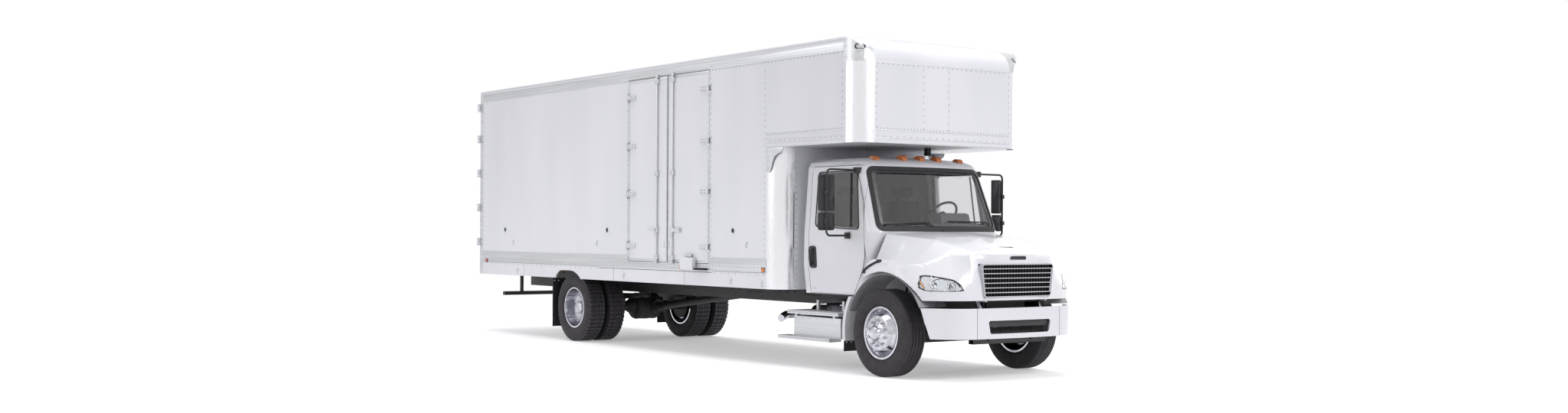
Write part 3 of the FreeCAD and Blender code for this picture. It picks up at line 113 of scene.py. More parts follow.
def grain(tree, size, stretch=(1, 1, 1), detail=4.0):
    """Noise on the piece's own coordinates whose spots are about size millimetres wide."""
    scaled = add(tree, "Mapping", {"Scale": stretch}, {"Vector": own_place(tree)})
    return add(tree, "TexNoise", {"Scale": 1000 / size, "Detail": detail, "Roughness": 0.55},
               {"Vector": scaled.outputs["Vector"]}).outputs["Fac"]


def facets(tree, scale):
    """Distance from the middle of each moulded cell."""
    return add(tree, "TexVoronoi", {"Scale": scale}, {"Vector": own_place(tree)}).outputs["Distance"]


def ramp(tree, source, *stops):
    """A colour between (position, hex colour) stops."""
    node = add(tree, "ValToRGB", None, {"Fac": source})
    for mark, (place, colour) in zip(node.color_ramp.elements, stops):
        mark.position = place
        mark.color = linear(colour)
    return node.outputs["Color"]


def spread_value(tree, source, low, high, to_low, to_high):
    """A value moved from one range to another and kept inside it."""
    return add(tree, "MapRange", {"From Min": low, "From Max": high, "To Min": to_low, "To Max": to_high},
               {"Value": source}).outputs["Result"]


def relief(tree, shader, height, depth, strength=1.0):
    """Bump of that depth in millimetres on the shader's normal."""
    bump = add(tree, "Bump", {"Distance": depth / 1000, "Strength": strength}, {"Height": height})
    tree.links.new(bump.outputs["Normal"], shader.inputs["Normal"])


def road_film(tree, clean, film, top, amount):
    """The clean colour under a film of road dust that thins out up to a height in millimetres."""
    height = add(tree, "SeparateXYZ", None, {"Vector": own_place(tree)}).outputs["Z"]
    low = spread_value(tree, height, 0.0, top / 1000, amount, 0.0)
    uneven = add(tree, "Math", {"operation": "MULTIPLY"}, {0: low, 1: grain(tree, 140, (1, 0.6, 1))})
    mix = add(tree, "MixRGB", {"Color2": linear(film)}, {"Fac": uneven.outputs["Value"], "Color1": clean})
    return mix.outputs["Color"]


def surface(slot, name, colour, rough, **settings):
    """A material with one Principled shader, its node tree and its shader."""
    material = bpy.data.materials.new(name)
    material.use_nodes = True
    shader = material.node_tree.nodes["Principled BSDF"]
    shader.inputs["Base Color"].default_value = linear(colour)
    shader.inputs["Roughness"].default_value = rough
    for socket, value in settings.items():
        shader.inputs[socket.replace("_", " ")].default_value = value
    return material, material.node_tree, shader


def finish(slot, name, colour, rough, tone=None, film=None, marks=None, bump=None, **settings):
    """A finish built from grains, each (size in millimetres, stretch, detail).

    tone is a grain, its dark and light colours and where each is full; film the dust's colour, its
    height and amount; marks a grain, its range and the roughness at both ends; bump a grain, its
    depth in millimetres and strength.
    """
    material, tree, shader = surface(slot, name, colour, rough, **settings)
    if tone:
        spots, dark, light, low, high = tone
        shades = ramp(tree, grain(tree, *spots), (low, dark), (high, light))
        if film:
            shades = road_film(tree, shades, *film)
        tree.links.new(shades, shader.inputs["Base Color"])
    if marks:
        spots, *spread = marks
        tree.links.new(spread_value(tree, grain(tree, *spots), *spread), shader.inputs["Roughness"])
    if bump:
        spots, depth, strength = bump
        relief(tree, shader, grain(tree, *spots), depth, strength)
    return material


EVEN = (1, 1, 1)
# Acrylic enamel sprayed on steel and moulded panels: a clear gloss with faint orange peel.
ENAMEL = finish("cab_white", "Gloss white acrylic enamel", "E4E4E8", 0.3,
                tone=((900, EVEN, 2), "E1E1E6", "E7E7EA", 0.3, 0.7), film=("C9C5C0", 1300, 0.35),
                bump=((9, EVEN, 1), 0.05, 1.0), Coat_Weight=0.5, Coat_Roughness=0.06, Specular_IOR_Level=0.4)
# Pre-painted aluminium side sheet: a soft sheen, slightly wavy between its stiffeners.
WAVES = (650, (1, 1, 0.25), 1)
PANEL = finish("panel_white", "Pre-painted white side sheet", "E9E9ED", 0.36,
               tone=(WAVES, "E6E6EB", "ECECF0", 0.3, 0.7), film=("CBC8C4", 1600, 0.35),
               bump=(WAVES, 3.0, 0.5), Specular_IOR_Level=0.45)
# Extruded aluminium as it leaves the die: pale grey, with fine lines along its length.
DIE_LINES = (30, (1, 0.02, 1))
MILL = finish("rail_grey", "Mill-finish aluminium extrusion", "C9CACD", 0.42,
              tone=(DIE_LINES, "BFC0C4", "D2D3D6", 0.3, 0.7), marks=(DIE_LINES, 0.3, 0.7, 0.36, 0.5),
              bump=(DIE_LINES, 0.2, 0.4), Metallic=0.85)
# Buffed aluminium: bright, with fine upright buffing marks.
BUFFING = (14, (1, 1, 0.1))
POLISHED = finish("polished_aluminium", "Polished aluminium", "E4E4E8", 0.24,
                  marks=(BUFFING, 0.3, 0.7, 0.2, 0.32), bump=(BUFFING, 0.01, 0.3), Metallic=1.0)
# Forged aluminium wheel, turned and polished: bright rings, with a little brake dust.
WHEEL = finish("polished_aluminium", "Polished forged aluminium", "BEBEC4", 0.14,
               tone=((70,), "AFAFB6", "C9C9CF", 0.35, 0.65), marks=((6, (3, 0.3, 0.3)), 0.3, 0.7, 0.08, 0.2),
               Metallic=1.0)
# Chromium plate over nickel: a mirror with a cool cast.
CHROME = finish("chrome", "Bright chrome plate", "BFC0C6", 0.06, marks=((45,), 0.35, 0.7, 0.04, 0.12),
                Metallic=1.0)
# Silver base coat with aluminium flake under clear lacquer.
FLAKE = (2.5, EVEN, 1)
SILVER = finish("bumper_silver", "Silver flake paint", "DCDADF", 0.34,
                tone=(FLAKE, "D3D1D7", "E5E3E8", 0.35, 0.65), film=("BEBAB6", 900, 0.3),
                bump=(FLAKE, 0.03, 0.4), Metallic=0.35, Coat_Weight=0.4, Coat_Roughness=0.08)
# Satin black enamel over hot-rolled steel, dulled by road dust.
CHASSIS = finish("frame_black", "Satin black chassis enamel", "232226", 0.5,
                 tone=((60,), "1C1B1F", "2C2A2F", 0.35, 0.7), film=("5B5552", 900, 0.5), bump=((12,), 0.4, 0.5))
# Sand-cast iron under thin black paint: pebbled and dull.
CAST = finish("cast_dark", "Sand-cast iron, painted", "2B2A2D", 0.62,
              tone=((50,), "232225", "3A3637", 0.35, 0.7), film=("5E5753", 800, 0.5), bump=((5,), 0.9, 0.8),
              Metallic=0.2)
# Carbon-black tyre rubber: matt, slightly brown with dust in its grooves.
TYRE = finish("tyre_black", "Tyre rubber", "2E2B2F", 0.72, tone=((90,), "2A272B", "39363A", 0.35, 0.7),
              film=("6E6763", 520, 0.18), bump=((4,), 0.3, 0.6), Specular_IOR_Level=0.35)
# Tread blocks polished by the road: greyer than the sidewall.
TREAD = finish("tyre_black", "Worn tread rubber", "464247", 0.62, tone=((24,), "3B383C", "565256", 0.35, 0.7),
               bump=((4,), 0.4, 0.6), Specular_IOR_Level=0.4)
# Driven aluminium rivets: dull, a darker grey than the mill aluminium so that the heads read as dark dots, with a
# random tone.
RIVET = finish("rail_grey", "Driven aluminium rivets", "85868B", 0.45,
               tone=((22,), "727378", "9B9CA1", 0.35, 0.7), Metallic=0.6)
# Extruded EPDM seal: soft black with a faint bloom. The same black is also laid on as painted shade in gaps, joints and
# slots that show dark.
SEAL_AND_GAP_SHADE = finish("rubber_black", "EPDM seal rubber and painted gap shade", "1D1C1F", 0.6, tone=((25,), "18171A", "262529", 0.35, 0.7))
# Zinc-plated pressed steel: dull silver with a faint spangle.
ZINC = finish("rail_grey", "Zinc-plated steel", "C9CACD", 0.38, tone=((18,), "C0C1C5", "D6D7DA", 0.35, 0.7),
              Metallic=0.55)


def moulded(slot, name, dark, light, rough):
    """Injection-moulded plastic with a fine leather grain, drawn at 3 mm so that it shows."""
    return finish(slot, name, dark, rough, tone=((120,), dark, light, 0.35, 0.7), bump=((3, EVEN, 1), 0.25, 0.6))


BLACK = moulded("plastic_black", "Grained black ABS", "1B1B1E", "27272B", 0.55)
GREY = moulded("plastic_grey", "Moulded grey polyethylene", "8F8D92", "9F9DA2", 0.6)
TRIM = moulded("plastic_grey", "Moulded grey cab trim", "525257", "5E5E63", 0.65)
# Black of the radiator core and ducting, also laid on as painted shade where holes and openings show dark.
CORE_AND_HOLE_SHADE = moulded("plastic_black", "Black radiator core, ducting and painted hole shade", "0F0F11", "19191C", 0.7)
FRIT = moulded("plastic_black", "Black ceramic band on glass", "17171A", "1F1F23", 0.18)


def clear_glass(slot, name, tint):
    """Laminated safety glass with a light tint, or a clear moulded lens."""
    return finish(slot, name, tint, 0.02, marks=((400, EVEN, 1), 0.4, 0.7, 0.02, 0.04),
                  Transmission_Weight=1.0, IOR=1.5)


GLASS = clear_glass("glass_clear", "Tinted laminated glass", "EEEEF0")
LENS = clear_glass("lamp_clear", "Clear polycarbonate lens", "F4F6F8")


def lamp_lens(slot, name, dark, light):
    """Moulded acrylic lamp lens: coloured through, with pillow optics about 8 mm across, each pillow lighter at its
    middle as a painted highlight.
    """
    material, tree, shader = surface(slot, name, dark, 0.12, Coat_Weight=0.6, Coat_Roughness=0.05,
                                     Subsurface_Weight=0.15)
    # Painted highlight: the light colour at the middle of each pillow, fading out to the lens's own colour at its rim.
    tree.links.new(ramp(tree, facets(tree, 120), (0.0, light), (0.7, dark)), shader.inputs["Base Color"])
    relief(tree, shader, facets(tree, 120), 0.8, 0.6)
    return material


AMBER = lamp_lens("amber", "Amber acrylic lens", "D8691B", "F09A3E")
RED = lamp_lens(None, "Red acrylic lens", "B3201C", "D8453A")
PALE_AMBER = lamp_lens("amber", "Pale amber reflector plastic", "DB9A5C", "EFC598")
AMBER_CLEAR = lamp_lens("lamp_clear", "Pale amber-clear acrylic lens", "D9D3CC", "EDEAE6")


def lamp_reflector():
    """Vacuum-aluminised reflector: a bright mirror softened by moulded facets."""
    material, tree, shader = surface("chrome", "Aluminised reflector", "EDEDF0", 0.22, Metallic=0.9)
    tree.links.new(spread_value(tree, facets(tree, 60), 0.0, 0.8, 0.14, 0.34), shader.inputs["Roughness"])
    relief(tree, shader, facets(tree, 60), 0.6, 0.5)
    return material


def seat_cloth():
    """Flat-woven grey seat cloth with a soft nap, its rows drawn coarse so that the weave shows."""
    material, tree, shader = surface("seat_grey", "Woven grey seat cloth", "242328", 0.9, Sheen_Weight=0.15,
                                     Sheen_Roughness=0.5)
    warp, weft = [add(tree, "TexWave", {"bands_direction": way, "Scale": 40, "Distortion": 0.4},
                      {"Vector": own_place(tree)}) for way in ("X", "DIAGONAL")]
    weave = add(tree, "Math", {"operation": "MULTIPLY"}, {0: warp.outputs["Fac"], 1: weft.outputs["Fac"]})
    weave = weave.outputs["Value"]
    tree.links.new(ramp(tree, weave, (0.1, "1C1B1F"), (0.8, "2C2B30")), shader.inputs["Base Color"])
    relief(tree, shader, weave, 0.8, 0.6)
    return material


def floor_boards():
    """Laminated hardwood floor: 30 mm strips along the van, scuffed on top and black undercoat below."""
    material, tree, shader = surface("floor_wood", "Laminated hardwood floor", "8A6A49", 0.5)
    turned_round = add(tree, "Mapping", {"Rotation": (0, 0, math.pi / 2)}, {"Vector": own_place(tree)})
    strips = add(tree, "TexBrick", {"Color1": linear("8F6E4B"), "Color2": linear("7B5C3D"),
                                    "Mortar": linear("4E3A28"), "Scale": 1.0, "Mortar Size": 0.002,
                                    "Brick Width": 1.2, "Row Height": 0.03},
                 {"Vector": turned_round.outputs["Vector"]})
    facing = add(tree, "SeparateXYZ", None, {"Vector": add(tree, "NewGeometry").outputs["Normal"]})
    below = spread_value(tree, facing.outputs["Z"], -0.5, -0.4, 1.0, 0.0)
    coated = add(tree, "MixRGB", {"Color2": linear("1F1E21")}, {"Fac": below, "Color1": strips.outputs["Color"]})
    tree.links.new(coated.outputs["Color"], shader.inputs["Base Color"])
    relief(tree, shader, grain(tree, 8, (1, 0.05, 1)), 0.4)
    return material


REFLECTOR = lamp_reflector()
CLOTH = seat_cloth()
BOARDS = floor_boards()

# ---- CAD nodes that show as they are ------------------------------------------------
PLAIN = {
    CHASSIS: "frame_rails crossmembers leaf_springs driveshaft underride_guard tie_rod",
    CAST: "front_axle rear_axle engine knuckle_left knuckle_right",
    GREY: "fender_liners",
    BLACK: "radiator mud_flaps",
    TRIM: "dashboard",
    MILL: "step_box fuel_tank nose_floor bottom_rails rear_frame",
    POLISHED: "corner_posts",
    CHROME: "exhaust",
    PANEL: "box_roof side_wall_left side_wall_right skirts side_door_front side_door_rear rear_door_left "
           "rear_door_right nose_front bulkhead door_step",
    BOARDS: "box_floor",
    GLASS: "windscreen door_glass_left door_glass_right",
    LENS: "headlamps",
    AMBER: "roof_lamps",
}


def painted(piece, look):
    piece.data.materials.clear()
    piece.data.materials.append(look)


for look, names in PLAIN.items():
    for name in names.split():
        painted(NODES[name], look)


# ---- modelling ----------------------------------------------------------------------
WELD = (bpy.ops.mesh.remove_doubles, {"threshold": 0.00002})
OUTWARD = (bpy.ops.mesh.normals_make_consistent, {"inside": False})
FILL = (bpy.ops.mesh.edge_face_add, {})


def clear_selection():
    bpy.ops.object.select_all(action="DESELECT")


def choose(piece):
    clear_selection()
    piece.select_set(True)
    bpy.context.view_layer.objects.active = piece


def settle(piece):
    """Puts a new shape's place, turn and size into its mesh."""
    choose(piece)
    bpy.ops.object.transform_apply(location=True, rotation=True, scale=True)
    return piece


def worked(piece, *steps):
    """Runs edit-mode steps on a piece, each with all of it selected."""
    choose(piece)
    bpy.ops.object.mode_set(mode="EDIT")
    for operator, settings in steps:
        bpy.ops.mesh.select_all(action="SELECT")
        operator(**settings)
    bpy.ops.object.mode_set(mode="OBJECT")
    return piece


def applied(piece, kind, **settings):
    """Adds a modifier and applies it."""
    modifier = piece.modifiers.new(kind.title(), kind)
    for name, value in settings.items():
        setattr(modifier, name, value)
    choose(piece)
    bpy.ops.object.modifier_apply(modifier=modifier.name)
    return piece


def soften(piece, edge, angle=40):
    """Rounds the edges that are sharper than an angle."""
    return applied(piece, "BEVEL", width=edge / 1000, segments=2, limit_method="ANGLE",
                   angle_limit=math.radians(angle))


def block(x0, x1, y0, y1, z0, z1, edge=2.0):
    """A block between six planes, with rounded edges."""
    clear_selection()
    low, high = at(min(x0, x1), min(y0, y1), z0), at(max(x0, x1), max(y0, y1), z1)
    bpy.ops.mesh.primitive_cube_add(size=1, location=(low + high) / 2, scale=high - low)
    piece = settle(bpy.context.object)
    if edge:
        worked(piece, (bpy.ops.mesh.bevel, {"offset": edge / 1000, "segments": 2, "affect": "EDGES"}))
    return piece


def rounded(points, bend, closed=False, steps=4, fill=0):
    """The points with each corner swapped for a short curve, and more points on the runs."""
    points = [Vector(p) for p in points]
    count = len(points)
    path = [] if closed else [points[0]]
    for i in range(count) if closed else range(1, count - 1):
        here, back, there = points[i], points[i - 1] - points[i], points[(i + 1) % count]
        on = there - here
        start = here + back.normalized() * min(bend, back.length * 0.45)
        end = here + on.normalized() * min(bend, on.length * 0.45)
        for k in range(steps + 1):
            t = k / steps
            path.append(start.lerp(here, t).lerp(here.lerp(end, t), t))
        if closed or i < count - 2:
            stop = there - on.normalized() * min(bend, on.length * 0.45)
            path += [end.lerp(stop, (k + 1) / (fill + 1)) for k in range(fill)]
    if not closed:
        path.append(points[-1])
    return [tuple(p) for p in path]


def draw(points, closed=False):
    """A chain of edges, drawn by pulling one vertex from point to point."""
    clear_selection()
    places = [at(*p) for p in points]
    bpy.ops.mesh.primitive_plane_add(size=0.01, location=places[0])
    line = settle(bpy.context.object)
    bpy.ops.object.mode_set(mode="EDIT")
    bpy.ops.mesh.select_all(action="SELECT")
    bpy.ops.mesh.merge(type="CENTER")
    for here, there in zip(places, places[1:] + (places[:1] if closed else [])):
        bpy.ops.mesh.extrude_vertices_move(TRANSFORM_OT_translate={"value": there - here})
    bpy.ops.object.mode_set(mode="OBJECT")
    return worked(line, WELD) if closed else line


def plate(points, push, edge=0.0):
    """An outline filled and pushed along a vector in millimetres."""
    pull = {"TRANSFORM_OT_translate": {"value": Vector(push) / 1000}}
    piece = worked(draw(points), FILL, (bpy.ops.mesh.extrude_region_move, pull), OUTWARD)
    return soften(piece, edge) if edge else piece


def turned(points, centre, axis, steps=32):
    """A chain of points turned about an axis through the centre."""
    spin = {"steps": steps, "angle": math.tau, "center": at(*centre), "axis": Vector(axis)}
    return worked(draw(points), (bpy.ops.mesh.spin, spin), WELD, OUTWARD)


def repeated_round(piece, centre, axis, count):
    """Copies of a shape set evenly round an axis."""
    spin = {"steps": count - 1, "angle": math.tau * (count - 1) / count, "dupli": True, "center": at(*centre),
            "axis": Vector(axis)}
    return worked(piece, (bpy.ops.mesh.spin, spin))


def repeated(piece, step, count):
    """Copies of a shape in a straight row, a step in millimetres apart."""
    return applied(piece, "ARRAY", count=count, use_relative_offset=False, use_constant_offset=True,
                   constant_offset_displace=Vector(step) / 1000)


def knob(place, out, profile, steps=16):
    """A round piece on a surface: (radius, height) points turned about its outward line."""
    out = Vector(out).normalized()
    side = out.orthogonal().normalized()
    points = [tuple(Vector(place) + side * r + out * h) for r, h in profile]
    return turned(points, place, out, steps)


def tube(points, radius, bend=0, closed=False):
    """A round bar through the points, with curved bends."""
    choose(draw(rounded(points, bend, closed) if bend else points, closed))
    bpy.ops.object.convert(target="CURVE")
    curve = bpy.context.object
    curve.data.bevel_depth = radius / 1000
    curve.data.bevel_resolution = 2
    curve.data.use_fill_caps = True
    bpy.ops.object.convert(target="MESH")
    return worked(bpy.context.object, WELD, OUTWARD)


def joined(pieces):
    if len(pieces) == 1:
        return pieces[0]
    clear_selection()
    for piece in pieces:
        piece.select_set(True)
    bpy.context.view_layer.objects.active = pieces[0]
    bpy.ops.object.join()
    return bpy.context.object


def band(outer, inner, thickness):
    """A flat ring between two closed loops, thickened both ways."""
    ring = worked(joined([draw(outer, True), draw(inner, True)]), (bpy.ops.mesh.bridge_edge_loops, {}), OUTWARD)
    return applied(ring, "SOLIDIFY", thickness=thickness / 1000, offset=0.0)


def copied(piece, shift=(0, 0, 0)):
    """A copy with its own mesh, moved by millimetres."""
    copy = piece.copy()
    copy.data = piece.data.copy()
    copy.parent = None
    bpy.context.scene.collection.objects.link(copy)
    copy.location = Vector(shift) / 1000
    return settle(copy)


def flipped(piece):
    """The piece moved to the other side of the truck."""
    piece.scale.x = -1
    return worked(settle(piece), OUTWARD)


def rivets(start, step, count, out, head=7.0):
    """A straight row of domed rivet heads standing on a surface."""
    clear_selection()
    turn = Vector(out).to_track_quat("Z", "Y").to_euler()
    bpy.ops.mesh.primitive_uv_sphere_add(segments=8, ring_count=4, radius=head / 1000, location=at(*start),
                                         rotation=turn, scale=(1, 1, 0.45))
    return repeated(settle(bpy.context.object), step, count)


def fitted(name, look, shapes, body="chassis", stands_for=(), angle=35, flip=False):
    """Joins shapes of one finish into a piece of the truck, which rides on a body."""
    for shape in shapes:
        painted(shape, look)
        if flip:
            flipped(shape)
    whole = joined(list(shapes))
    choose(whole)
    whole.name = whole.data.name = name
    bpy.ops.object.shade_smooth_by_angle(angle=math.radians(angle))
    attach(whole, body)
    if stands_for:
        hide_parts(*stands_for)
    return whole


SKINS = {}


def skin_of(mesh):
    return BVHTree.FromPolygons([v.co for v in mesh.vertices], [p.vertices for p in mesh.polygons])


def struck(node, start, way):
    """Where a line from a point meets a CAD node, in millimetres, and the outward direction there."""
    if node not in SKINS:
        SKINS[node] = skin_of(NODES[node].data)
    place, out, face, far = SKINS[node].ray_cast(at(*start), Vector(way).normalized())
    return ((place.x * 1000, (place.y - FRONT_AXLE) * 1000, place.z * 1000), out) if place else None


def touch(node, start, way):
    met = struck(node, start, way)
    assert met, (node, start)
    return met


def laid(node, outline, way, thickness, back=1.5):
    """A plate whose outline follows a node's surface, standing proud of it."""
    met = [touch(node, p, way) for p in outline]
    out = sum((o for p, o in met), Vector()).normalized()
    return plate([tuple(Vector(p) - out * back) for p, o in met], out * (back + thickness))


# ---- CAD nodes in a smoothly shaded copy --------------------------------------------
def smoothed(node, look, body):
    """A welded, smoothly shaded copy of a CAD node that stands for it."""
    piece = copied(NODES[node])
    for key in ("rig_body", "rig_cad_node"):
        del piece[key]
    worked(piece, WELD)
    fitted(node + "_skin", look, [piece], body, [node], 32)
    applied(piece, "WEIGHTED_NORMAL", mode="FACE_AREA", weight=100, keep_sharp=True)


for node, look in (("cab_shell", ENAMEL), ("quarter_fenders", ENAMEL), ("bumper", SILVER), ("corner_caps", MILL)):
    smoothed(node, look, "chassis")
smoothed("hood", ENAMEL, "hood")
smoothed("grille", CHROME, "hood")
smoothed("steering_wheel", BLACK, "steering_wheel")
for side, out in SIDES:
    smoothed("cab_door_" + side, ENAMEL, "cab_door_" + side)
    smoothed("mirror_" + side, BLACK, "cab_door_" + side)
    for wheel in ("front_wheel_", "rear_wheels_"):
        smoothed(wheel + side, WHEEL, wheel + side)


# ---- tyres and wheels ---------------------------------------------------------------
# Half outlines, tread to bead: (out from the tyre's middle plane, radius).
STEER_HALF = [(0, 495), (19.5, 495), (21, 482), (27, 482), (28.5, 495), (61, 495), (62.5, 482), (69.5, 482),
              (71, 495), (98, 494), (112, 490), (121, 480), (124, 470), (128, 452), (129.5, 450), (130.5, 446),
              (135, 420), (137.5, 395), (137.5, 385), (136, 360), (133, 345), (132.5, 340), (128, 325),
              (120, 315), (112, 309), (104.5, 301), (104.5, 287)]
DRIVE_HALF = [(0, 481), (100, 479), (112, 476), (121, 472), (124, 465), (128, 452), (129.5, 450)] + STEER_HALF[15:]
TWINS = (1088, 753)            # middle planes of the outer and inner rear tyre


def tyre_ring(x, y, half):
    """A tyre turned from its half outline, bead to bead."""
    outline = [(x + a, y, WHEEL_Z + r) for a, r in reversed(half)]
    outline += [(x - a, y, WHEEL_Z + r) for a, r in half[1:]]
    return turned(outline, (x, y, WHEEL_Z), (1, 0, 0), 96)


def drive_tread(x, y):
    """Zig-zag drive blocks: two shoulder rows and three rows between, 48 pitches round."""
    shoulder = [(74, -27), (116, -25), (120, 0), (116, 26), (78, 24), (68, -2)]
    inner = [(30, -24), (63, -28), (57, -2), (67, 22), (36, 27), (24, 2)]
    middle = [(-17, -27), (21, -25), (15, 0), (25, 24), (-12, 26), (-23, 2)]
    rows = [shoulder, inner, middle, [(-a, b) for a, b in inner], [(-a, b) for a, b in shoulder]]
    lugs = [plate([(x + a, y + b, WHEEL_Z + 476) for a, b in row], (0, 0, 17.5)) for row in rows]
    return repeated_round(joined(lugs), (x, y, WHEEL_Z), (1, 0, 0), 48)


def wheel_set(side, out, front):
    """Tyres of one wheel or pair, and ten flange nuts on their studs."""
    body = ("front_wheel_" if front else "rear_wheels_") + side
    tyre = body.replace("wheel", "tyre")
    if front:
        rings, y, x = [tyre_ring(out * 1033, 0, STEER_HALF)], 0, out * 1200
    else:
        rings, y, x = [tyre_ring(out * a, WHEELBASE, DRIVE_HALF) for a in TWINS], WHEELBASE, out * 943
        fitted(tyre + "_lugs", TREAD, [drive_tread(out * a, y) for a in TWINS], body, angle=28)
    fitted(tyre + "_casing", TYRE, rings, body, [tyre], 28)
    seat, way = (x, y, WHEEL_Z + 143), (out, 0, 0)
    nut = knob(seat, way, [(0.2, 0), (24, 0), (24, 4), (18, 5), (18, 26), (15, 29), (0.2, 29)], 6)
    stud = knob(seat, way, [(11, 26), (11, 44), (9, 46), (0.2, 46)], 12)
    fitted(body + "_nuts", CHROME, [repeated_round(joined([nut, stud]), (x, y, WHEEL_Z), (1, 0, 0), 10)], body)


# ---- windscreen and wipers ----------------------------------------------------------
# Height, how far back the cab's face is, and half its width there.
CAB_LEVELS = [(890, 395, 970), (1240, 307, 1012), (1625, 210, 1005), (2400, 520, 945), (2455, 572, 925),
              (2495, 660, 862)]


def cab_level(z):
    """How far back the cab's face is at a height, and half its width."""
    for (z0, f0, h0), (z1, f1, h1) in zip(CAB_LEVELS, CAB_LEVELS[1:]):
        if z <= z1:
            break
    t = (z - z0) / (z1 - z0)
    return f0 + (f1 - f0) * t, h0 + (h1 - h0) * t


def cab_front(x, z):
    """Y of the cab's curved front at a place across it and a height."""
    x, bow, bend, widest = abs(x), 4530.0, 168.0, 1012.0
    face, half = cab_level(z)
    lean = math.asin((widest - bend) / (bow - bend))
    corner = half - bend
    if x <= corner + bend * math.sin(lean):
        return face + bow - math.sqrt(bow ** 2 - (x - half + widest) ** 2)
    return face + bow - (bow - bend) * math.cos(lean) - math.sqrt(max(0, bend ** 2 - (x - corner) ** 2))


def screen_loop(low_half, low_z, top_half, top_z, bend, forward):
    """A rounded loop on the windscreen, held forward of the cab's surface."""
    corners = [(-low_half, 0, low_z), (low_half, 0, low_z), (top_half, 0, top_z), (-top_half, 0, top_z)]
    return [(x, cab_front(x, z) - forward, z) for x, y, z in rounded(corners, bend, True, 6, 14)]


def windscreen_surround():
    """Rubber surround of the windscreen, with the black ceramic band printed inside it."""
    rubber = band(screen_loop(938, 1636, 874, 2396, 95, -1), screen_loop(890, 1686, 834, 2350, 80, 9), 12)
    fitted("windscreen_rubber", SEAL_AND_GAP_SHADE, [rubber], angle=50)
    frit = band(screen_loop(894, 1682, 838, 2354, 80, 3), screen_loop(850, 1702, 792, 2322, 70, 3), 2)
    fitted("windscreen_frit", FRIT, [frit], angle=60)


def wiper(name, pivot, elbow, low, high):
    """Wiper with a cast foot, a sprung arm and a blade in its holder."""
    foot = knob(pivot, (0, -0.4, 0.9), [(24, -22), (24, 4), (16, 16), (0.2, 18)], 20)
    holder = tube([(x, y - 8, z + 6) for x, y, z in (low, high)], 7)
    fitted(name, BLACK, [foot, tube([pivot, elbow], 8), holder, tube([low, high], 5)])


# ---- cab doors ----------------------------------------------------------------------
def pane_loop(grow, bend):
    """The door glass's outline, grown by millimetres."""
    loop = [(0, 590 - grow, 1670 - grow), (0, 690 - grow, 2330 + grow), (0, 1400 + grow, 2330 + grow),
            (0, 1400 + grow, 1700 - grow)]
    return rounded(loop, bend, True, 5, 8)


def on_door(points, lift=0):
    """Points dropped onto the driver's door, pillar and all."""
    found = []
    for x, y, z in points:
        for node in ("cab_door_left", "cab_shell"):
            met = struck(node, (1300, y, z), (-1, 0, 0))
            if met and met[0][0] > 850:
                found.append((met[0][0] + lift, y, z))
                break
        else:
            found.append((found[-1][0] if found else 1000, y, z))
    return found


def cab_door_trim(side, out):
    """Glass seal with its quarter bar, the handle in its cup, and a blank plate."""
    body, flip = "cab_door_" + side, out < 0
    seal = band(on_door(pane_loop(16, 60), 3), on_door(pane_loop(3, 52), 3), 6)
    bar = tube([(987, 752, 1684), (940, 806, 2318)], 11)
    fitted("cab_door_seal_" + side, SEAL_AND_GAP_SHADE, [seal, bar], body, angle=50, flip=flip)
    well = rounded([(0, 1360, 1215), (0, 1392, 1193), (0, 1500, 1193), (0, 1531, 1420), (0, 1505, 1459),
                    (0, 1385, 1459)], 40, True)
    dish = on_door(well, 1)
    x = dish[0][0]
    grip = tube([(x + 8, 1462, 1230), (x + 30, 1455, 1265), (x + 30, 1440, 1395), (x + 8, 1432, 1430)], 13, 25)
    lock = knob((x + 6, 1405, 1225), (1, 0, 0), [(14, 0), (14, 4), (11, 6), (0.2, 6)], 20)
    fitted("cab_door_handle_" + side, BLACK, [plate(dish, (6, 0, 0), 2), grip, lock], body, flip=flip)
    tag = laid("cab_door_left", [(1300, 1460 + a * 40, 956 + b * 16) for a, b in CORNERS], (-1, 0, 0), 2)
    fitted("cab_door_plate_" + side, ZINC, [tag], body, flip=flip)


def shut_lines(side, out):
    """Rubber in the gaps round a cab door, set almost flush with the skin so that it also paints the gap's shade as a
    dark line.
    """
    lines = []
    for start, way in ((-600, 1), (3200, -1)):
        points = []
        for z in range(930, 2400, 70):
            half = cab_level(z)[1]
            met = struck("cab_door_left", (half - 14, start, z), (0, way, 0))
            if met and met[0][1] < 1600:
                points.append((half - 2.5, met[0][1] - way * 4, z))
        lines.append(tube(points, 3.5))
    fitted("cab_shut_lines_" + side, SEAL_AND_GAP_SHADE, lines, "cab_door_" + side, flip=out < 0)


def mirror_details(side, out):
    """Glass, ribbed backs and tube clamps of the two mirror heads."""
    heads, clamps, pin = ([], []), [], at(1390, 695, 0)
    turn = Matrix.Translation(pin) @ Matrix.Rotation(math.radians(MIRROR_TURN), 4, "Z") @ Matrix.Translation(-pin)
    for z0, z1, back in ((1868, 2286, 815), (1645, 1850, 807)):
        heads[0].append(block(1308, 1472, back - 2, back + 2, z0 + 14, z1 - 14, 1.5))
        heads[1].append(repeated(block(1352, 1356, 711, 716, z0 + 24, z1 - 24, 1), (36, 0, 0), 3))
        heads[1].extend(block(1318, 1462, 711, 716, z, z + 3, 1) for z in (z0 + 14, z1 - 17))
        middle = (z0 + z1) / 2
        clamps += [block(1368, 1412, 672, 716, middle - 26, middle + 26, 8),
                   knob((1390, 672, middle), (0, -1, 0), [(13, -2), (13, 6), (9, 10), (0.2, 11)], 14)]
    for piece in heads[0] + heads[1]:
        piece.matrix_world = turn
        settle(piece)
    fitted("mirror_glass_" + side, CHROME, heads[0], "cab_door_" + side, flip=out < 0)
    fitted("mirror_back_" + side, BLACK, heads[1] + clamps, "cab_door_" + side, flip=out < 0)


# ---- hood ---------------------------------------------------------------------------
def badge_loop(half_width, half_height):
    return rounded([(a * half_width, -1200, 1348 + b * half_height) for a, b in CORNERS], half_height, True)


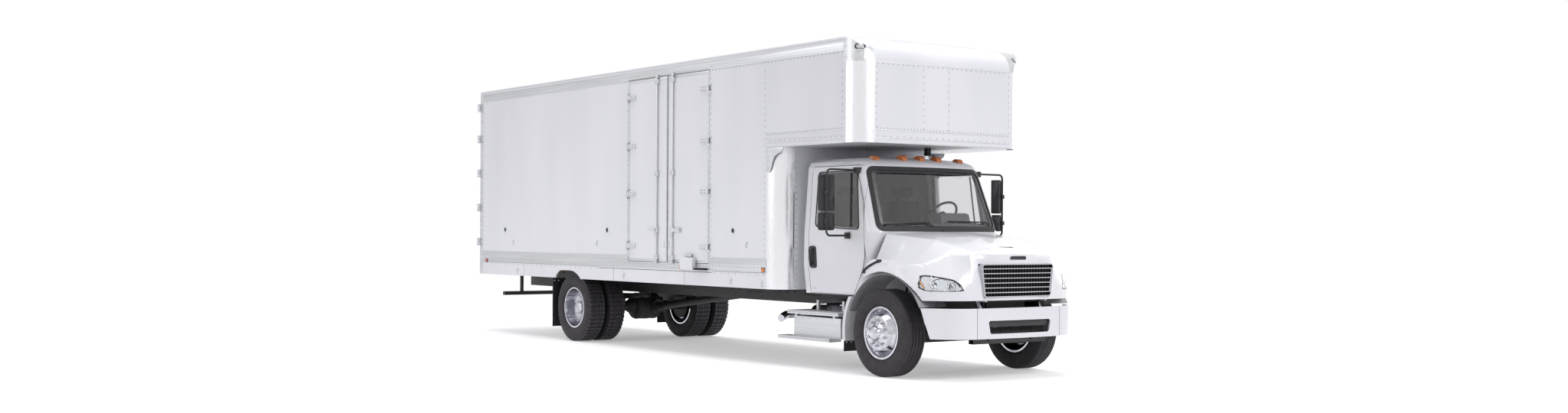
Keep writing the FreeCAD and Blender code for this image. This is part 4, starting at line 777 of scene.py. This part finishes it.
def hood_details():
    """Radiator core behind the grille, a blank badge, a black plate painted on the hood as the shade of the handle's
    opening, markers and latches.
    """
    core = [block(-545, 545, -938, -930, 914, 1283),
            repeated(block(-515, -497, -966, -938, 914, 1283, 0), (44, 0, 0), 24)]
    fitted("grille_core", CORE_AND_HOLE_SHADE, core, "hood")
    rim = laid("hood", badge_loop(128, 26), (0, 1, 0), 6)
    fitted("hood_badge_rim", CHROME, [soften(rim, 2)], "hood")
    fitted("hood_badge_face", BLACK, [laid("hood", badge_loop(120, 19), (0, 1, 0), 7.5)], "hood")
    # Painted shade: a thin black plate laid on the hood where the handle's opening shows dark.
    slit = [(107, -812), (85, -826), (-60, -808), (-107, -790), (-60, -794), (90, -796)]
    fitted("hood_handle_opening_shade", CORE_AND_HOLE_SHADE, [laid("hood", [(x, y, 1700) for x, y in slit], (0, 0, -1), 1.2)], "hood")
    rims, lenses = [], []
    for side, out in SIDES:
        way = Vector((out * 0.58, -0.04, 0.81)).normalized()
        place, face = touch("hood", tuple(Vector((out * 1124, -83, 1277)) + way * 120), -way)
        rims.append(knob(place, face, [(36, -6), (36, 3), (30, 5), (30, -6)], 28))
        lenses.append(knob(place, face, [(30, -4), (29, 6), (20, 13), (0.2, 15)], 28))
        path = [(1206, 250, 1185), (1192, 190, 1235), (1159, 135, 1271), (1123, 82, 1305)]
        strap = [tube([(out * x, y, z) for x, y, z in path], 13, 20)]
        strap += [block(out * a, out * b, y - 24, y + 24, z - 18, z + 20, 6)
                  for a, b, y, z in ((1172, 1208, 246, 1176), (1092, 1134, 82, 1300))]
        fitted("hood_latch_" + side, SEAL_AND_GAP_SHADE, strap, "hood")
    fitted("fender_marker_rims", ENAMEL, rims, "hood")
    fitted("fender_marker_lenses", AMBER_CLEAR, lenses, "hood")


LAMP_OUTLINE = [(-1106, 1069), (-1069, 1151), (-1033, 1160), (-951, 1140), (-833, 1111), (-780, 1053),
                (-756, 990), (-863, 982), (-1013, 984), (-1087, 991), (-1112, 1019)]


def headlamp(side, out):
    """Reflectors, bezel and amber corner behind the clear lens."""
    mid_x, mid_z = [sum(values) / len(LAMP_OUTLINE) for values in zip(*LAMP_OUTLINE)]

    def lens(x, z):
        return touch("headlamps", (x, AHEAD, z), (0, 1, 0))[0][1]

    def loop(scale, lift):
        points = [(mid_x + (x - mid_x) * scale, 0, mid_z + (z - mid_z) * scale) for x, z in LAMP_OUTLINE]
        spots = []
        for x, y, z in rounded(points, 30, True, 3, 2):
            met = struck("headlamps", (x, AHEAD, z), (0, 1, 0))
            y = met[0][1] if met else lens(mid_x + (x - mid_x) * 0.9, mid_z + (z - mid_z) * 0.9)
            spots.append((-out * x, y - lift, z))
        return spots

    fitted("headlamp_bezel_" + side, BLACK, [band(loop(1.0, -2), loop(0.94, 1), 5)], "hood", angle=50)
    back = [applied(worked(draw(loop(0.93, -30), True), FILL), "SOLIDIFY", thickness=0.004)]
    back += [tube([(-out * x, lens(x, z) + 6, z) for x, z in rib], 6)
             for rib in (((-1000, 1145), (-1012, 996)), ((-872, 1066), (-850, 992)))]
    fitted("headlamp_back_" + side, REFLECTOR, back, "hood", angle=40)
    bowls, bulbs = [], []
    aim = Vector((out * 0.3, -1, 0.06)).normalized()
    for x, z, r in ((-992, 1068, 58), (-862, 1040, 46)):
        spot = (-out * x, lens(x, z) + 16, z)
        bowls.append(knob(spot, aim, [(r + 7, -20), (r + 7, 4), (r, 4), (r * 0.86, -8), (r * 0.6, -17),
                                      (r * 0.3, -21), (0.2, -22)], 36))
        bulbs.append(knob(spot, aim, [(13, -21), (13, -8), (11, -1), (6, 4), (0.2, 5)], 20))
    fitted("headlamp_reflector_" + side, REFLECTOR, bowls, "hood", angle=40)
    fitted("headlamp_bulb_" + side, GREY, bulbs, "hood", angle=40)
    corner = [knob((-out * x, lens(x, z) + 10, z), (0, -1, 0), [(15, -8), (15, 0), (10, 5), (0.2, 6)])
              for x, z in ((-1083, 1075), (-1080, 1050), (-1078, 1025))]
    fitted("headlamp_amber_" + side, PALE_AMBER, corner, "hood")


# ---- bumper -------------------------------------------------------------------------
def bumper_details():
    """Rubber in the bumper's two gaps, its bolts, and the cooler seen through its opening."""
    seams = []
    for x in (-634, 634):
        beside = x * 622 / 634             # on the skin next to the gap
        seams.append(tube([(x, touch("bumper", (beside, AHEAD, z), (0, 1, 0))[0][1] + 9, z)
                           for z in (484, 560, 640, 720, 784)], 5))
    fitted("bumper_seams", SEAL_AND_GAP_SHADE, seams)
    heads = [knob(*touch("bumper", (x, AHEAD, 763), (0, 1, 0)), [(11, -2), (11, 0.1), (8, 0.35), (0.2, 0.35)])
             for x in (-99, 73)]
    fitted("bumper_bolts", ZINC, heads)
    cooler = [repeated(block(-330, 330, -912, -900, 536, 541, 0), (0, 0, 17), 7),
              repeated(block(-330, -322, -914, -899, 530, 648, 0), (163, 0, 0), 5),
              block(-440, 440, -898, -894, 500, 690, 0)]
    fitted("bumper_cooler", CORE_AND_HOLE_SHADE, cooler)


# ---- van body -----------------------------------------------------------------------
def body_side(side, out):
    """Rails, rivets, vents, hooks and lamps of one side wall."""
    x, way, kerb = out * WALL_X, (out, 0, 0), side == "right"

    def strip(y0, y1, z0, z1, proud, edge=1.0):
        return block(x - out * 2, x + out * proud, y0, y1, z0, z1, edge)

    top = [strip(516, 9838, *rest) for rest in ((3700, 3709, 5), (3758, 3764, 5), (3798, 3806, 7),
                                                (3709, 3798, 1.5, 0.5), (3836, 3842, 4))]
    fitted("top_rail_" + side, MILL, top)
    rail = [strip(a, b, z, z + 7, 9) for z in (1128, 1152, 1216, 1240, 1271)
            for a, b in ([(2004, 3260), (5280, 9838)] if kerb and z > 1200 else [(2004, 9838)])]
    rail += [strip(516, 2036, z, z + 6, 5) for z in (2652, 2700, 2742, 2798)]
    fitted("rail_ribs_" + side, MILL, rail)
    rows = [(0, 540, 3686, 76, 122), (3, 2030, 1184, 76, 103), (0, 2030, 1292, 50, 24), (0, 5330, 1292, 50, 90),
            (0, 540, 2816, 50, 30, 8), (0, 540, 2722, 100, 15), (0, 2060, 1096, 152, 50)]
    rows += [] if kerb else [(0, 3280, 1292, 50, 40)]
    studs = [rivets((x + out * proud, y, z), (0, gap, 0), count, way, *head)
             for proud, y, z, gap, count, *head in rows]
    columns = (2048, 9800, 3230, 5312) if kerb else (2048, 9800, 3230, 4450, 5670, 6890, 8110)
    studs += [rivets((x, y, 1310), (0, 0, 76), 31, way) for y in columns]
    studs.append(rivets((x, 530, 2860), (0, 0, 76), 9, way))
    fitted("wall_rivets_" + side, RIVET, studs, angle=80)
    vents, louvres = [], []
    for y in (2720, 5853, 9040):
        vents.append(knob((x, y, 1636), way, [(46, -2), (46, 3), (40, 6), (31, 7), (29, 2), (0.2, 2)], 32))
        louvres.append(knob((x, y, 1636), way, [(30, 0), (30, 4), (0.2, 4)], 24))
        louvres += [block(x, x + out * 6, y - w, y + w, 1634 + h, 1638 + h, 0.8)
                    for h, w in ((-18, 20), (-9, 26), (0, 28), (9, 26), (18, 20))]
    fitted("vent_rings_" + side, ZINC, vents)
    fitted("vent_louvres_" + side, CORE_AND_HOLE_SHADE, louvres)
    hooks = []
    for y, z in ((8752, 1436), (6139, 1447), (2419, 1462), (5387, 1000), (2757, 1000), (2090, 985), (8600, 1000)):
        hooks.append(strip(y - 16, y + 16, z - 4, z + 44, 4))
        hooks.append(tube([(x + out * a, y, z + b) for a, b in ((3, 20), (20, 16), (26, -14), (14, -34), (3, -30))],
                          5, 14))
    fitted("rope_hooks_" + side, ZINC, hooks)
    for name, look, spots in (("marker_lamps_", AMBER, [(3922, 1150), (2066, 1156)]),
                              ("tail_marker_", RED, [(9693, 1140)])):
        fitted(name + side, look, [strip(y - 32, y + 32, z - 24, z + 24, 15, 5) for y, z in spots])
        fitted(name + side + "_rims", SEAL_AND_GAP_SHADE, [strip(y - 38, y + 38, z - 30, z + 30, 9, 4) for y, z in spots])
    gusset = [(1662, 2650), (1676, 2610), (1710, 2586), (1790, 2566), (1850, 2530), (1884, 2470), (1905, 2400),
              (1930, 2352), (1968, 2338), (2006, 2360), (2006, 2650)]
    gusset = plate(rounded([(x, y, z) for y, z in gusset], 24, True, 3), (out * 5, 0, 0), 1.5)
    fitted("nose_gusset_" + side, MILL, [gusset, rivets((x + out * 5, 1984, 2400), (0, 0, 60), 5, way, 8)])
    # Painted shade: thin dark strips laid on the wall where the skirt's joints and the gap above the skirt show dark.
    seam = [strip(3190, 6092, 1098, 1103, 1.5, 0), strip(2002, 3190, 1118, 1121, 1.5, 0),
            strip(6092, 9838, 1118, 1121, 1.5, 0)]
    seam += [strip(y, y + 3, 930, 1120, 1, 0) for y in (3840, 5670, 8400)]
    fitted("skirt_gap_shade_" + side, SEAL_AND_GAP_SHADE, seam)
    arch = [(7403, 924), (7376, 962), (7334, 1002), (7272, 1036), (7190, 1050), (6930, 1050), (6820, 1036),
            (6724, 1002), (6656, 962), (6613, 924)]
    fills = ([(7403, 924), (7341, 1052), (7190, 1052)] + arch[3:0:-1],
             [(6613, 924), (6676, 1052), (6930, 1052)] + arch[6:9])
    arches = [plate([(x - out * 26, y, z) for y, z in fill], (out * 26, 0, 0)) for fill in fills]
    arches.append(tube([(x - out * 6, y, z) for y, z in arch], 9))
    fitted("wheel_arch_" + side, PANEL, arches, angle=40)
    aim = Vector((-out, 1, -0.15)).normalized()
    place, face = touch("corner_caps", tuple(Vector((out * 1130, 400, 3722)) - aim * 900), aim)
    across = face.cross(Vector((0, 0, 1))).normalized()
    for part, look, wide, high, bend, lift, edge in (("base_", BLACK, 62, 30, 30, 6, 0),
                                                     ("lens_", ZINC, 44, 16, 14, 10, 3)):
        loop = rounded([tuple(Vector(place) + across * wide * a + Vector((0, 0, high * b)) - aim * 200)
                        for a, b in CORNERS], bend, True)
        shape = laid("corner_caps", loop, aim, lift)
        fitted("cap_lamp_" + part + side, look, [soften(shape, edge) if edge else shape])
    # Painted shade: a thin dark block on the front post where its slot shows dark.
    fitted("front_post_slot_shade_" + side, SEAL_AND_GAP_SHADE, [block(out * 1060, out * 1066, 1756, 1760, 1420, 2100, 1)])


def body_front():
    """Rivets, seams and rails of the nose, the wall behind the cab and the roof."""
    ahead = (0, -1, 0)
    studs = [rivets((x, 232, 2830), (0, 0, 76), 10, ahead) for x in (-1040, 1040, 65, -327)]
    studs += [rivets((-1020, 232, z), (gap, 0, 0), 2040 // gap + 1, ahead)
              for z, gap in ((2816, 50), (3552, 76), (2722, 100))]
    studs += [rivets((x, 1760, 960), (0, 0, 76), 22, ahead) for x in (-1026, 1026, -560, 560)]
    fitted("nose_rivets", RIVET, studs, angle=80)
    rails = [block(-1052, 1052, 227, 233, z, z + 6, 1) for z in (2652, 2700, 2792)]
    rails += [block(-1052, 1052, 229, 233, 3566, 3572, 1), block(63.5, 66.5, 230.5, 233, 2800, 3560, 0)]
    fitted("nose_rails", MILL, rails)
    under = [rivets((-1000, y, 2648), (76, 0, 0), 27, (0, 0, -1), 8) for y in (560, 1100, 1640)]
    fitted("nose_floor_rivets", RIVET, under, angle=80)
    fitted("nose_wiring_box", CORE_AND_HOLE_SHADE, [block(200, 260, 760, 820, 2556, 2647, 3)])
    seams = []
    for y in range(1130, 9800, 1220):
        met = [touch("box_roof", (x, y, 4500), (0, 0, -1)) for x in range(-1280, 1281, 80)]
        seams.append(tube([tuple(Vector(p) - up * 2) for p, up in met], 2))
    fitted("roof_seams", MILL, seams)


def side_door_details(leaf):
    """Frame, hinge leaves, lock rod, guides and handle of one kerb-side leaf."""
    body, x = "side_door_" + leaf, -WALL_X
    way, pin, rod, free, shut = (1, 3263, 4120, 3275, 4261) if leaf == "front" else (-1, 5277, 4510, 5265, 4269)
    low, high = min(free, shut), max(free, shut)
    frame_bars = [block(x - 3, x + 1, low + 2, high - 2, z, z + 34, 1.5) for z in (1218, 3655)]
    frame_bars += [block(x - 3, x + 1, y, y + 30, 1252, 3655, 1.5) for y in (low + 2, high - 32)]
    fitted(body + "_frame", MILL, frame_bars, body)
    gear = [tube([(x - 20, rod, 1196), (x - 20, rod, 3721)], 13)]
    for z in (1275, 1640, 2400, 3632):
        gear.append(block(x - 36, x - 1, rod - 42, rod + 42, z - 32, z + 32, 5))
        gear += [rivets((x - 36, rod - 26, z + side), (0, 52, 0), 2, (-1, 0, 0), 8) for side in (-18, 18)]
    gear += [block(x - 38, x - 2, rod - 30, rod + 30, z - 12, z + 12, 4) for z in (1216, 3692)]
    gear.append(tube([(x - 38, rod, 1640), (x - 38, rod - way * 60, 1640), (x - 38, rod - way * 188, 1646)], 11, 20))
    end = min(rod, rod - way * 190)
    gear.append(block(x - 5, x + 1, end - 30, end + 60, 1600, 1680, 2))
    gear.append(tube([(x - 24, rod + 26, 1600), (x - 24, rod + 26, 1560), (x - 20, rod + 10, 1530)], 6, 10))
    fitted(body + "_lock_rod", ZINC, gear, body)
    leaves, bolts = [], []
    for z in (1425, 2136, 2788, 3462):
        leaves += [block(x - 30, x + 1, pin + way * 26, pin + way * 192, z - 34, z + 34, 4),
                   knob((x - 32, pin, z - 34), (0, 0, 1), [(16, 0), (16, 68), (0.2, 68)], 20)]
        bolts += [rivets((x - 30, pin + way * y, z - 17), (0, 0, 34), 2, (-1, 0, 0), 10) for y in (60, 110, 160)]
    fitted(body + "_hinge_leaves", ENAMEL, leaves, body)
    fitted(body + "_hinge_bolts", RIVET, bolts, body)
    start = shut - way * 60
    fitted(body + "_blank_plate", ZINC, [block(x - 2.5, x, start, start + 26, 1400, 1500, 1)], body)
    start = shut - way * 2 - 5
    fitted(body + "_seal", SEAL_AND_GAP_SHADE, [block(x - 4, x + 2, start, start + 6, 1222, 3686, 1)], body)


def side_door_surround():
    """Drip rails and jambs round the side doors, the step's rubber tread and its plate."""
    x = -WALL_X
    bars = [block(x - 8, x, 3230, 5312, 3730, 3748, 3), block(x - 5, x, 3250, 5292, 3696, 3708, 2)]
    bars += [block(x - 3, x, y, y + 22, 1290, 3700, 1.5) for y in (3244, 5276)]
    fitted("side_door_surround", MILL, bars)
    tread = [repeated(block(-1352, -1300, 3290, 3298, 1133, 1150, 1), (0, 17, 0), 15),
             block(-1350, -1298, 3284, 3545, 1126, 1136, 2)]
    fitted("step_rubber", SEAL_AND_GAP_SHADE, tread)
    pair = rivets((-1359, 3590, 1160), (0, 0, 80), 2, (-1, 0, 0), 9)
    step_plate = [block(-1330, -1303, 3640, 3780, 1290, 1330, 3), repeated(pair, (0, 240, 0), 2)]
    fitted("step_plate", ZINC, step_plate, "side_door_front")


def rear_door_details(side, out):
    """Lock rods with their guides, the handle, hinge bolts and the edge frame."""
    body, y = "rear_door_" + side, BODY_REAR
    gear = [tube([(out * x, y + 30, z) for x, z in ((250, 1700), (300, 1700), (518, 1705))], 9, 20)]
    for rod in (250, 900):
        gear.append(tube([(out * rod, y + 20, 1160), (out * rod, y + 20, 3790)], 13))
        gear += [block(out * rod - 42, out * rod + 42, y + 1, y + 36, z - 32, z + 32, 5)
                 for z in (1304, 1700, 2400, 3675)]
    gear += [rivets((out * x, y + 13, z - 17), (0, 0, 34), 2, (0, 1, 0), 9)
             for z in (1440, 1990, 2545, 3095, 3600) for x in (1085, 1130, 1175)]
    fitted(body + "_gear", ZINC, gear, body)
    edge = [block(out * a, out * b, y, y + 4, 1252, 3730, 1.5) for a, b in ((6, 34), (1176, 1204))]
    edge += [block(out * 34, out * 1176, y, y + 4, z, z + 30, 1.5) for z in (1252, 3700)]
    fitted(body + "_frame", MILL, edge, body)


def rear_lamps():
    """Round tail lamps, the upper markers and the rear frame's rivets."""
    reds, clears, rims = [], [], []
    for side, out in SIDES:
        for x, kept in ((1190, reds), (1060, reds), (930, clears)):
            spot = (out * x, BODY_REAR, 1010)
            rims.append(knob(spot, (0, 1, 0), [(62, -2), (62, 4), (54, 8), (54, -2)], 32))
            kept.append(knob(spot, (0, 1, 0), [(53, -1), (53, 8), (40, 14), (0.2, 16)], 32))
    reds += [block(x - half, x + half, BODY_REAR - 1, BODY_REAR + 14, 3770, 3800, 5)
             for x, half in ((-1255, 22), (1255, 22), (-160, 34), (0, 34), (160, 34))]
    fitted("rear_lamp_rims", SEAL_AND_GAP_SHADE, rims)
    fitted("rear_lamps_red", RED, reds)
    fitted("rear_lamps_clear", AMBER_CLEAR, clears)
    bolts = [rivets((x, BODY_REAR, 960), (0, 0, 100), 28, (0, 1, 0), 8) for x in (-1270, 1270)]
    fitted("rear_frame_rivets", RIVET, bolts, angle=80)


# ---- cab interior -------------------------------------------------------------------
def filled(piece, swell):
    """Foam under cloth: the shape swells under pressure, no point by more than swell millimetres."""
    applied(piece, "REMESH", mode="VOXEL", voxel_size=0.011)
    before = [v.co.copy() for v in piece.data.vertices]
    cloth = piece.modifiers.new("Filling", "CLOTH")
    cloth.settings.use_pressure = True
    cloth.settings.uniform_pressure_force = 4
    cloth.settings.effector_weights.gravity = 0
    cloth.point_cache.frame_start = 1
    cloth.point_cache.frame_end = 20
    for frame_number in range(1, 21):
        bpy.context.scene.frame_set(frame_number)
    choose(piece)
    bpy.ops.object.modifier_apply(modifier=cloth.name)
    bpy.context.scene.frame_set(1)
    for point, old in zip(piece.data.vertices, before):
        move = point.co - old
        if move.length > swell / 1000:
            point.co = old + move.normalized() * swell / 1000
    return applied(piece, "SUBSURF", levels=1, render_levels=1)


def sewn(piece, points, way):
    """A line of stitching pulled into the cover where a line of points meets it."""
    skin = skin_of(piece.data)
    met = [skin.ray_cast(at(*point), Vector(way))[0] for point in points]
    return tube([(p.x * 1000, (p.y - FRONT_AXLE) * 1000, p.z * 1000) for p in met if p], 3.5)


def seats():
    """Kerb-side seat sewn in panels, its copy on the driver's side, and both bases."""
    cushion = filled(soften(block(-706, -234, 950, 1425, 1338, 1466, 0), 38, 60), 14)
    back = plate([(-694, 1344, 1496), (-694, 1432, 1490), (-694, 1516, 2030), (-694, 1440, 2040)], (448, 0, 0))
    back = filled(soften(back, 34, 60), 12)
    head = filled(soften(block(-588, -352, 1450, 1518, 2070, 2182, 0), 26, 60), 8)
    upright, across = (-610, -330), range(-606, -330, 20)
    seams = [sewn(cushion, [(x, y, 1700) for y in range(960, 1420, 20)], (0, 0, -1)) for x in upright]
    seams.append(sewn(cushion, [(x, 1180, 1700) for x in across], (0, 0, -1)))
    seams += [sewn(back, [(x, 900, z) for z in range(1500, 2036, 20)], (0, 1, 0)) for x in upright]
    seams += [sewn(back, [(x, 900, z) for x in across], (0, 1, 0)) for z in (1640, 1900)]
    for name, shape in (("cushion", cushion), ("back", back), ("headrest", head), ("stitching", joined(seams))):
        pads = (("right", shape), ("left", copied(shape, (940, 0, 0))))
        for side, pad in pads:
            made = fitted("seat_" + name + "_" + side, SEAL_AND_GAP_SHADE if name == "stitching" else CLOTH, [pad], angle=60)
    bases = []
    for x in (-470, 470):
        bases += [block(x - 200, x + 200, 985, 1395, 1052, 1326, 14), block(x - 215, x + 215, 975, 1400, 1296, 1326, 8),
                  block(x - 232, x + 232, 1420, 1452, 1480, 1500, 6),
                  tube([(x - 246, 1400, 1340), (x - 246, 1390, 1470), (x - 240, 1380, 1500)], 9)]
        bases += [tube([(x + a, 1490, 2030), (x + a, 1488, 2080)], 7) for a in (-60, 60)]
    fitted("seat_bases", BLACK, bases, stands_for=["cab_seats"])


def linings():
    """Cab's rear and roof lining, door cards with arm rests, dash vents and dials."""
    back = touch("cab_shell", (0, 1000, 1900), (0, 1, 0))[0][1]
    roof = touch("cab_shell", (0, 1200, 2000), (0, 0, 1))[0][2]
    wall = [(-944, 1070), (-944, 1240), (-938, 1625), (-878, 2370), (878, 2370), (938, 1625), (944, 1240), (944, 1070)]
    pads = [plate([(x, back - 3, z) for x, z in wall], (0, -14, 0), 4),
            block(-840, 840, 720, back - 20, roof - 16, roof - 4, 5)]
    pads += [block(-860, 860, back - 19, back - 15, z, z + 6, 2) for z in (1640, 2000)]
    fitted("cab_linings", TRIM, pads)
    x = touch("cab_door_left", (0, 1100, 1500), (1, 0, 0))[0][0]
    for side, out in SIDES:
        card = [block(x - 14, x - 1, 850, 1470, 1030, 1620, 8), block(x - 52, x - 10, 900, 1380, 1420, 1465, 12),
                tube([(x - 30, 960, 1500), (x - 44, 1000, 1500), (x - 44, 1120, 1500), (x - 30, 1160, 1500)], 9, 20)]
        loops = []
        for grow in (62, 6):
            loop = pane_loop(grow, 50)
            met = [struck("cab_door_left", (0, y, z), (1, 0, 0)) for _, y, z in loop]
            loops.append([((m[0][0] if m and m[0][0] < 1010 else x) - 6, y, z) for m, (_, y, z) in zip(met, loop)])
        fitted("cab_door_lining_" + side, TRIM, card + [band(*loops, 5)], "cab_door_" + side, flip=out < 0)
    vents = [repeated(block(x - 60, x + 60, 792, 806, 1560, 1564, 0.5), (0, 0, 10), 6) for x in (-760, -180, 60, 760)]
    dials = [knob((x, 716, 1760), (0, 1, 0.3), [(52, 0), (52, 8), (46, 10), (44, 4), (0.2, 4)], 28)
             for x in (360, 540)]
    fitted("dash_vents_and_dials", BLACK, vents + dials)


# ---- steps, frame and flaps ---------------------------------------------------------
def step_details():
    """Raised grips on the two step treads, and dark domes and strips along their edges as painted shade of the punched
    holes there.
    """
    grip = [rivets((x, y, z), (0, 40, 0), 24, (0, 0, 1), 10)
            for y, z, row in ((830, 682, (-1112, -1072, -1032)), (930, 376, (-1162, -1122, -1082))) for x in row]
    grip += [rivets((-1050, 880, z), (0, 140, 0), 7, (-1, 0, 0), 9) for z in (396, 588)]
    fitted("step_grips", MILL, grip, angle=80)
    # Painted shade: dark domes and thin strips stand for the shade inside the punched holes.
    holes = [rivets(start, (0, 38, 0), 26, (-1, 0, 0), 6) for start in ((-1130, 818, 661), (-1180, 916, 356))]
    holes += [block(-1132, -1129, 802, 1788, 678, 680, 0), block(-1182, -1179, 902, 1918, 372, 374, 0)]
    fitted("step_hole_shade", CORE_AND_HOLE_SHADE, holes, angle=80)


def frame_details():
    """Bolt heads and dark domes painted as the shade of the holes along the frame rails, and the bolts of the flaps."""
    bolts, holes, flap = [], [], []
    for side, out in SIDES:
        for z in (830, 930):
            for y in (760, 2050, 3300, 4900, 8200):
                met = struck("frame_rails", (out * 1000, y, z), (-out, 0, 0))
                if met:
                    bolts.append(rivets(met[0], (0, 62, 0), 6, (out, 0, 0), 15))
                    # Painted shade: dark domes where the frame's holes show dark.
                    holes.append(rivets((met[0][0], y + 520, z + 30), (0, 170, 0), 3, (out, 0, 0), 19))
        for y, z, head, row in ((7560, 878, 14, (660, 780, 900, 1020, 1140, 1210)), (636, 356, 10, (990, 1060, 1130))):
            flap += [rivets((out * x, y, z), (0, 0, -28), 1, (0, -1, 0), head) for x in row]
    fitted("frame_bolts", CAST, bolts, angle=60)
    fitted("frame_hole_shade", CORE_AND_HOLE_SHADE, holes, angle=60)
    fitted("mud_flap_bolts", ZINC, flap, angle=60)


windscreen_surround()
wiper("wiper_near", (-29, 222, 1652), (-289, 262, 1749), (-859, 311, 1712), (-208, 254, 1738))
wiper("wiper_far", (870, 318, 1652), (764, 328, 1762), (80, 257, 1755), (758, 318, 1748))
hood_details()
bumper_details()
for side, out in SIDES:
    wheel_set(side, out, True)
    wheel_set(side, out, False)
    cab_door_trim(side, out)
    shut_lines(side, out)
    mirror_details(side, out)
    headlamp(side, out)
    body_side(side, out)
    rear_door_details(side, out)
side_door_details("front")
side_door_details("rear")
side_door_surround()
body_front()
rear_lamps()
seats()
linings()
step_details()
frame_details()


# ---- stage, light and camera --------------------------------------------------------
def seen_ray(tree):
    """1 for the rays of the camera, of reflections and through glass, which see plain white."""
    rays = add(tree, "LightPath").outputs
    either = add(tree, "Math", {"operation": "MAXIMUM"}, {0: rays["Is Camera Ray"], 1: rays["Is Glossy Ray"]})
    return add(tree, "Math", {"operation": "MAXIMUM"},
               {0: either.outputs["Value"], 1: rays["Is Transmission Ray"]}).outputs["Value"]


def studio_floor():
    """White floor that keeps the truck's shadow and fades into the white round it."""
    clear_selection()
    bpy.ops.mesh.primitive_circle_add(vertices=96, radius=400, fill_type="NGON", location=(0, 0, -0.002))
    ground = bpy.context.object
    ground.name = "studio_floor"
    material = bpy.data.materials.new("White studio floor")
    material.use_nodes = True
    tree = material.node_tree
    tree.nodes.remove(tree.nodes["Principled BSDF"])
    direct = seen_ray(tree)
    lifted = add(tree, "Math", {"operation": "MULTIPLY", 1: 0.34}, {0: direct})
    matt = add(tree, "BsdfDiffuse", {"Color": (0.86, 0.86, 0.865, 1)})
    lift, white = [add(tree, "Emission", {"Color": (1, 1, 1, 1)}, {"Strength": strength})
                   for strength in (lifted.outputs["Value"], direct)]
    near = add(tree, "AddShader", None, {0: matt.outputs["BSDF"], 1: lift.outputs["Emission"]})
    reach = add(tree, "VectorMath", {"operation": "LENGTH"}, {0: own_place(tree)})
    far = spread_value(tree, reach.outputs["Value"], 7.5, 12.0, 0.0, 1.0)
    mix = add(tree, "MixShader", None, {0: far, 1: near.outputs["Shader"], 2: white.outputs["Emission"]})
    tree.links.new(mix.outputs["Shader"], tree.nodes["Material Output"].inputs["Surface"])
    ground.data.materials.append(material)


def stood(name, data):
    """An object for a lamp or a camera, in the scene."""
    holder = bpy.data.objects.new(name, data)
    bpy.context.scene.collection.objects.link(holder)
    return holder


def studio_light():
    """A pale world and five soft square lamps: place, target, size in metres and watts."""
    world = bpy.data.worlds.new("Studio")
    bpy.context.scene.world = world
    world.use_nodes = True
    tree = world.node_tree
    sky = tree.nodes["Background"]
    sky.inputs["Color"].default_value = (0.95, 0.96, 1.0, 1)
    sky.inputs["Strength"].default_value = 0.55
    white = add(tree, "Background", {"Color": (1, 1, 1, 1), "Strength": 1.0})
    mix = add(tree, "MixShader", None, {0: seen_ray(tree), 1: sky.outputs["Background"],
                                        2: white.outputs["Background"]})
    tree.links.new(mix.outputs["Shader"], tree.nodes["World Output"].inputs["Surface"])
    for name, place, target, size, power in (("Key", (1, -17, 9), (0, -3, 1.8), 7.0, 1000),
                                             ("Side", (-16, 3, 8), (0, 1, 1.5), 9.0, 560),
                                             ("Top", (0, 0, 14), (0, 0, 0), 12.0, 1500),
                                             ("Back", (9, 20, 8), (0, 5, 2), 9.0, 900),
                                             ("Off side", (16, -2, 7), (0, 0, 2), 9.0, 420)):
        lamp = bpy.data.lights.new(name, "AREA")
        lamp.shape = "SQUARE"
        lamp.size = size
        lamp.energy = power
        holder = stood(name, lamp)
        holder.location = place
        holder.rotation_euler = (Vector(target) - Vector(place)).to_track_quat("-Z", "Y").to_euler()


def camera():
    """A camera at standing height off the kerb-side front corner, turned, tipped and rolled."""
    view = bpy.data.cameras.new("Camera")
    view.sensor_width = 36
    view.sensor_fit = "HORIZONTAL"
    view.lens = 36.516
    view.shift_y = 0.01636
    view.clip_end = 2000
    holder = stood("Camera", view)
    turn = (Matrix.Rotation(math.radians(-36.334), 4, "Z") @ Matrix.Rotation(math.radians(90 - 0.006), 4, "X")
            @ Matrix.Rotation(math.radians(0.321), 4, "Z"))
    holder.matrix_world = Matrix.Translation((-12.589, -18.182, 1.623)) @ turn
    bpy.context.scene.camera = holder


studio_floor()
studio_light()
camera()
bpy.context.scene.view_settings.view_transform = "Standard"
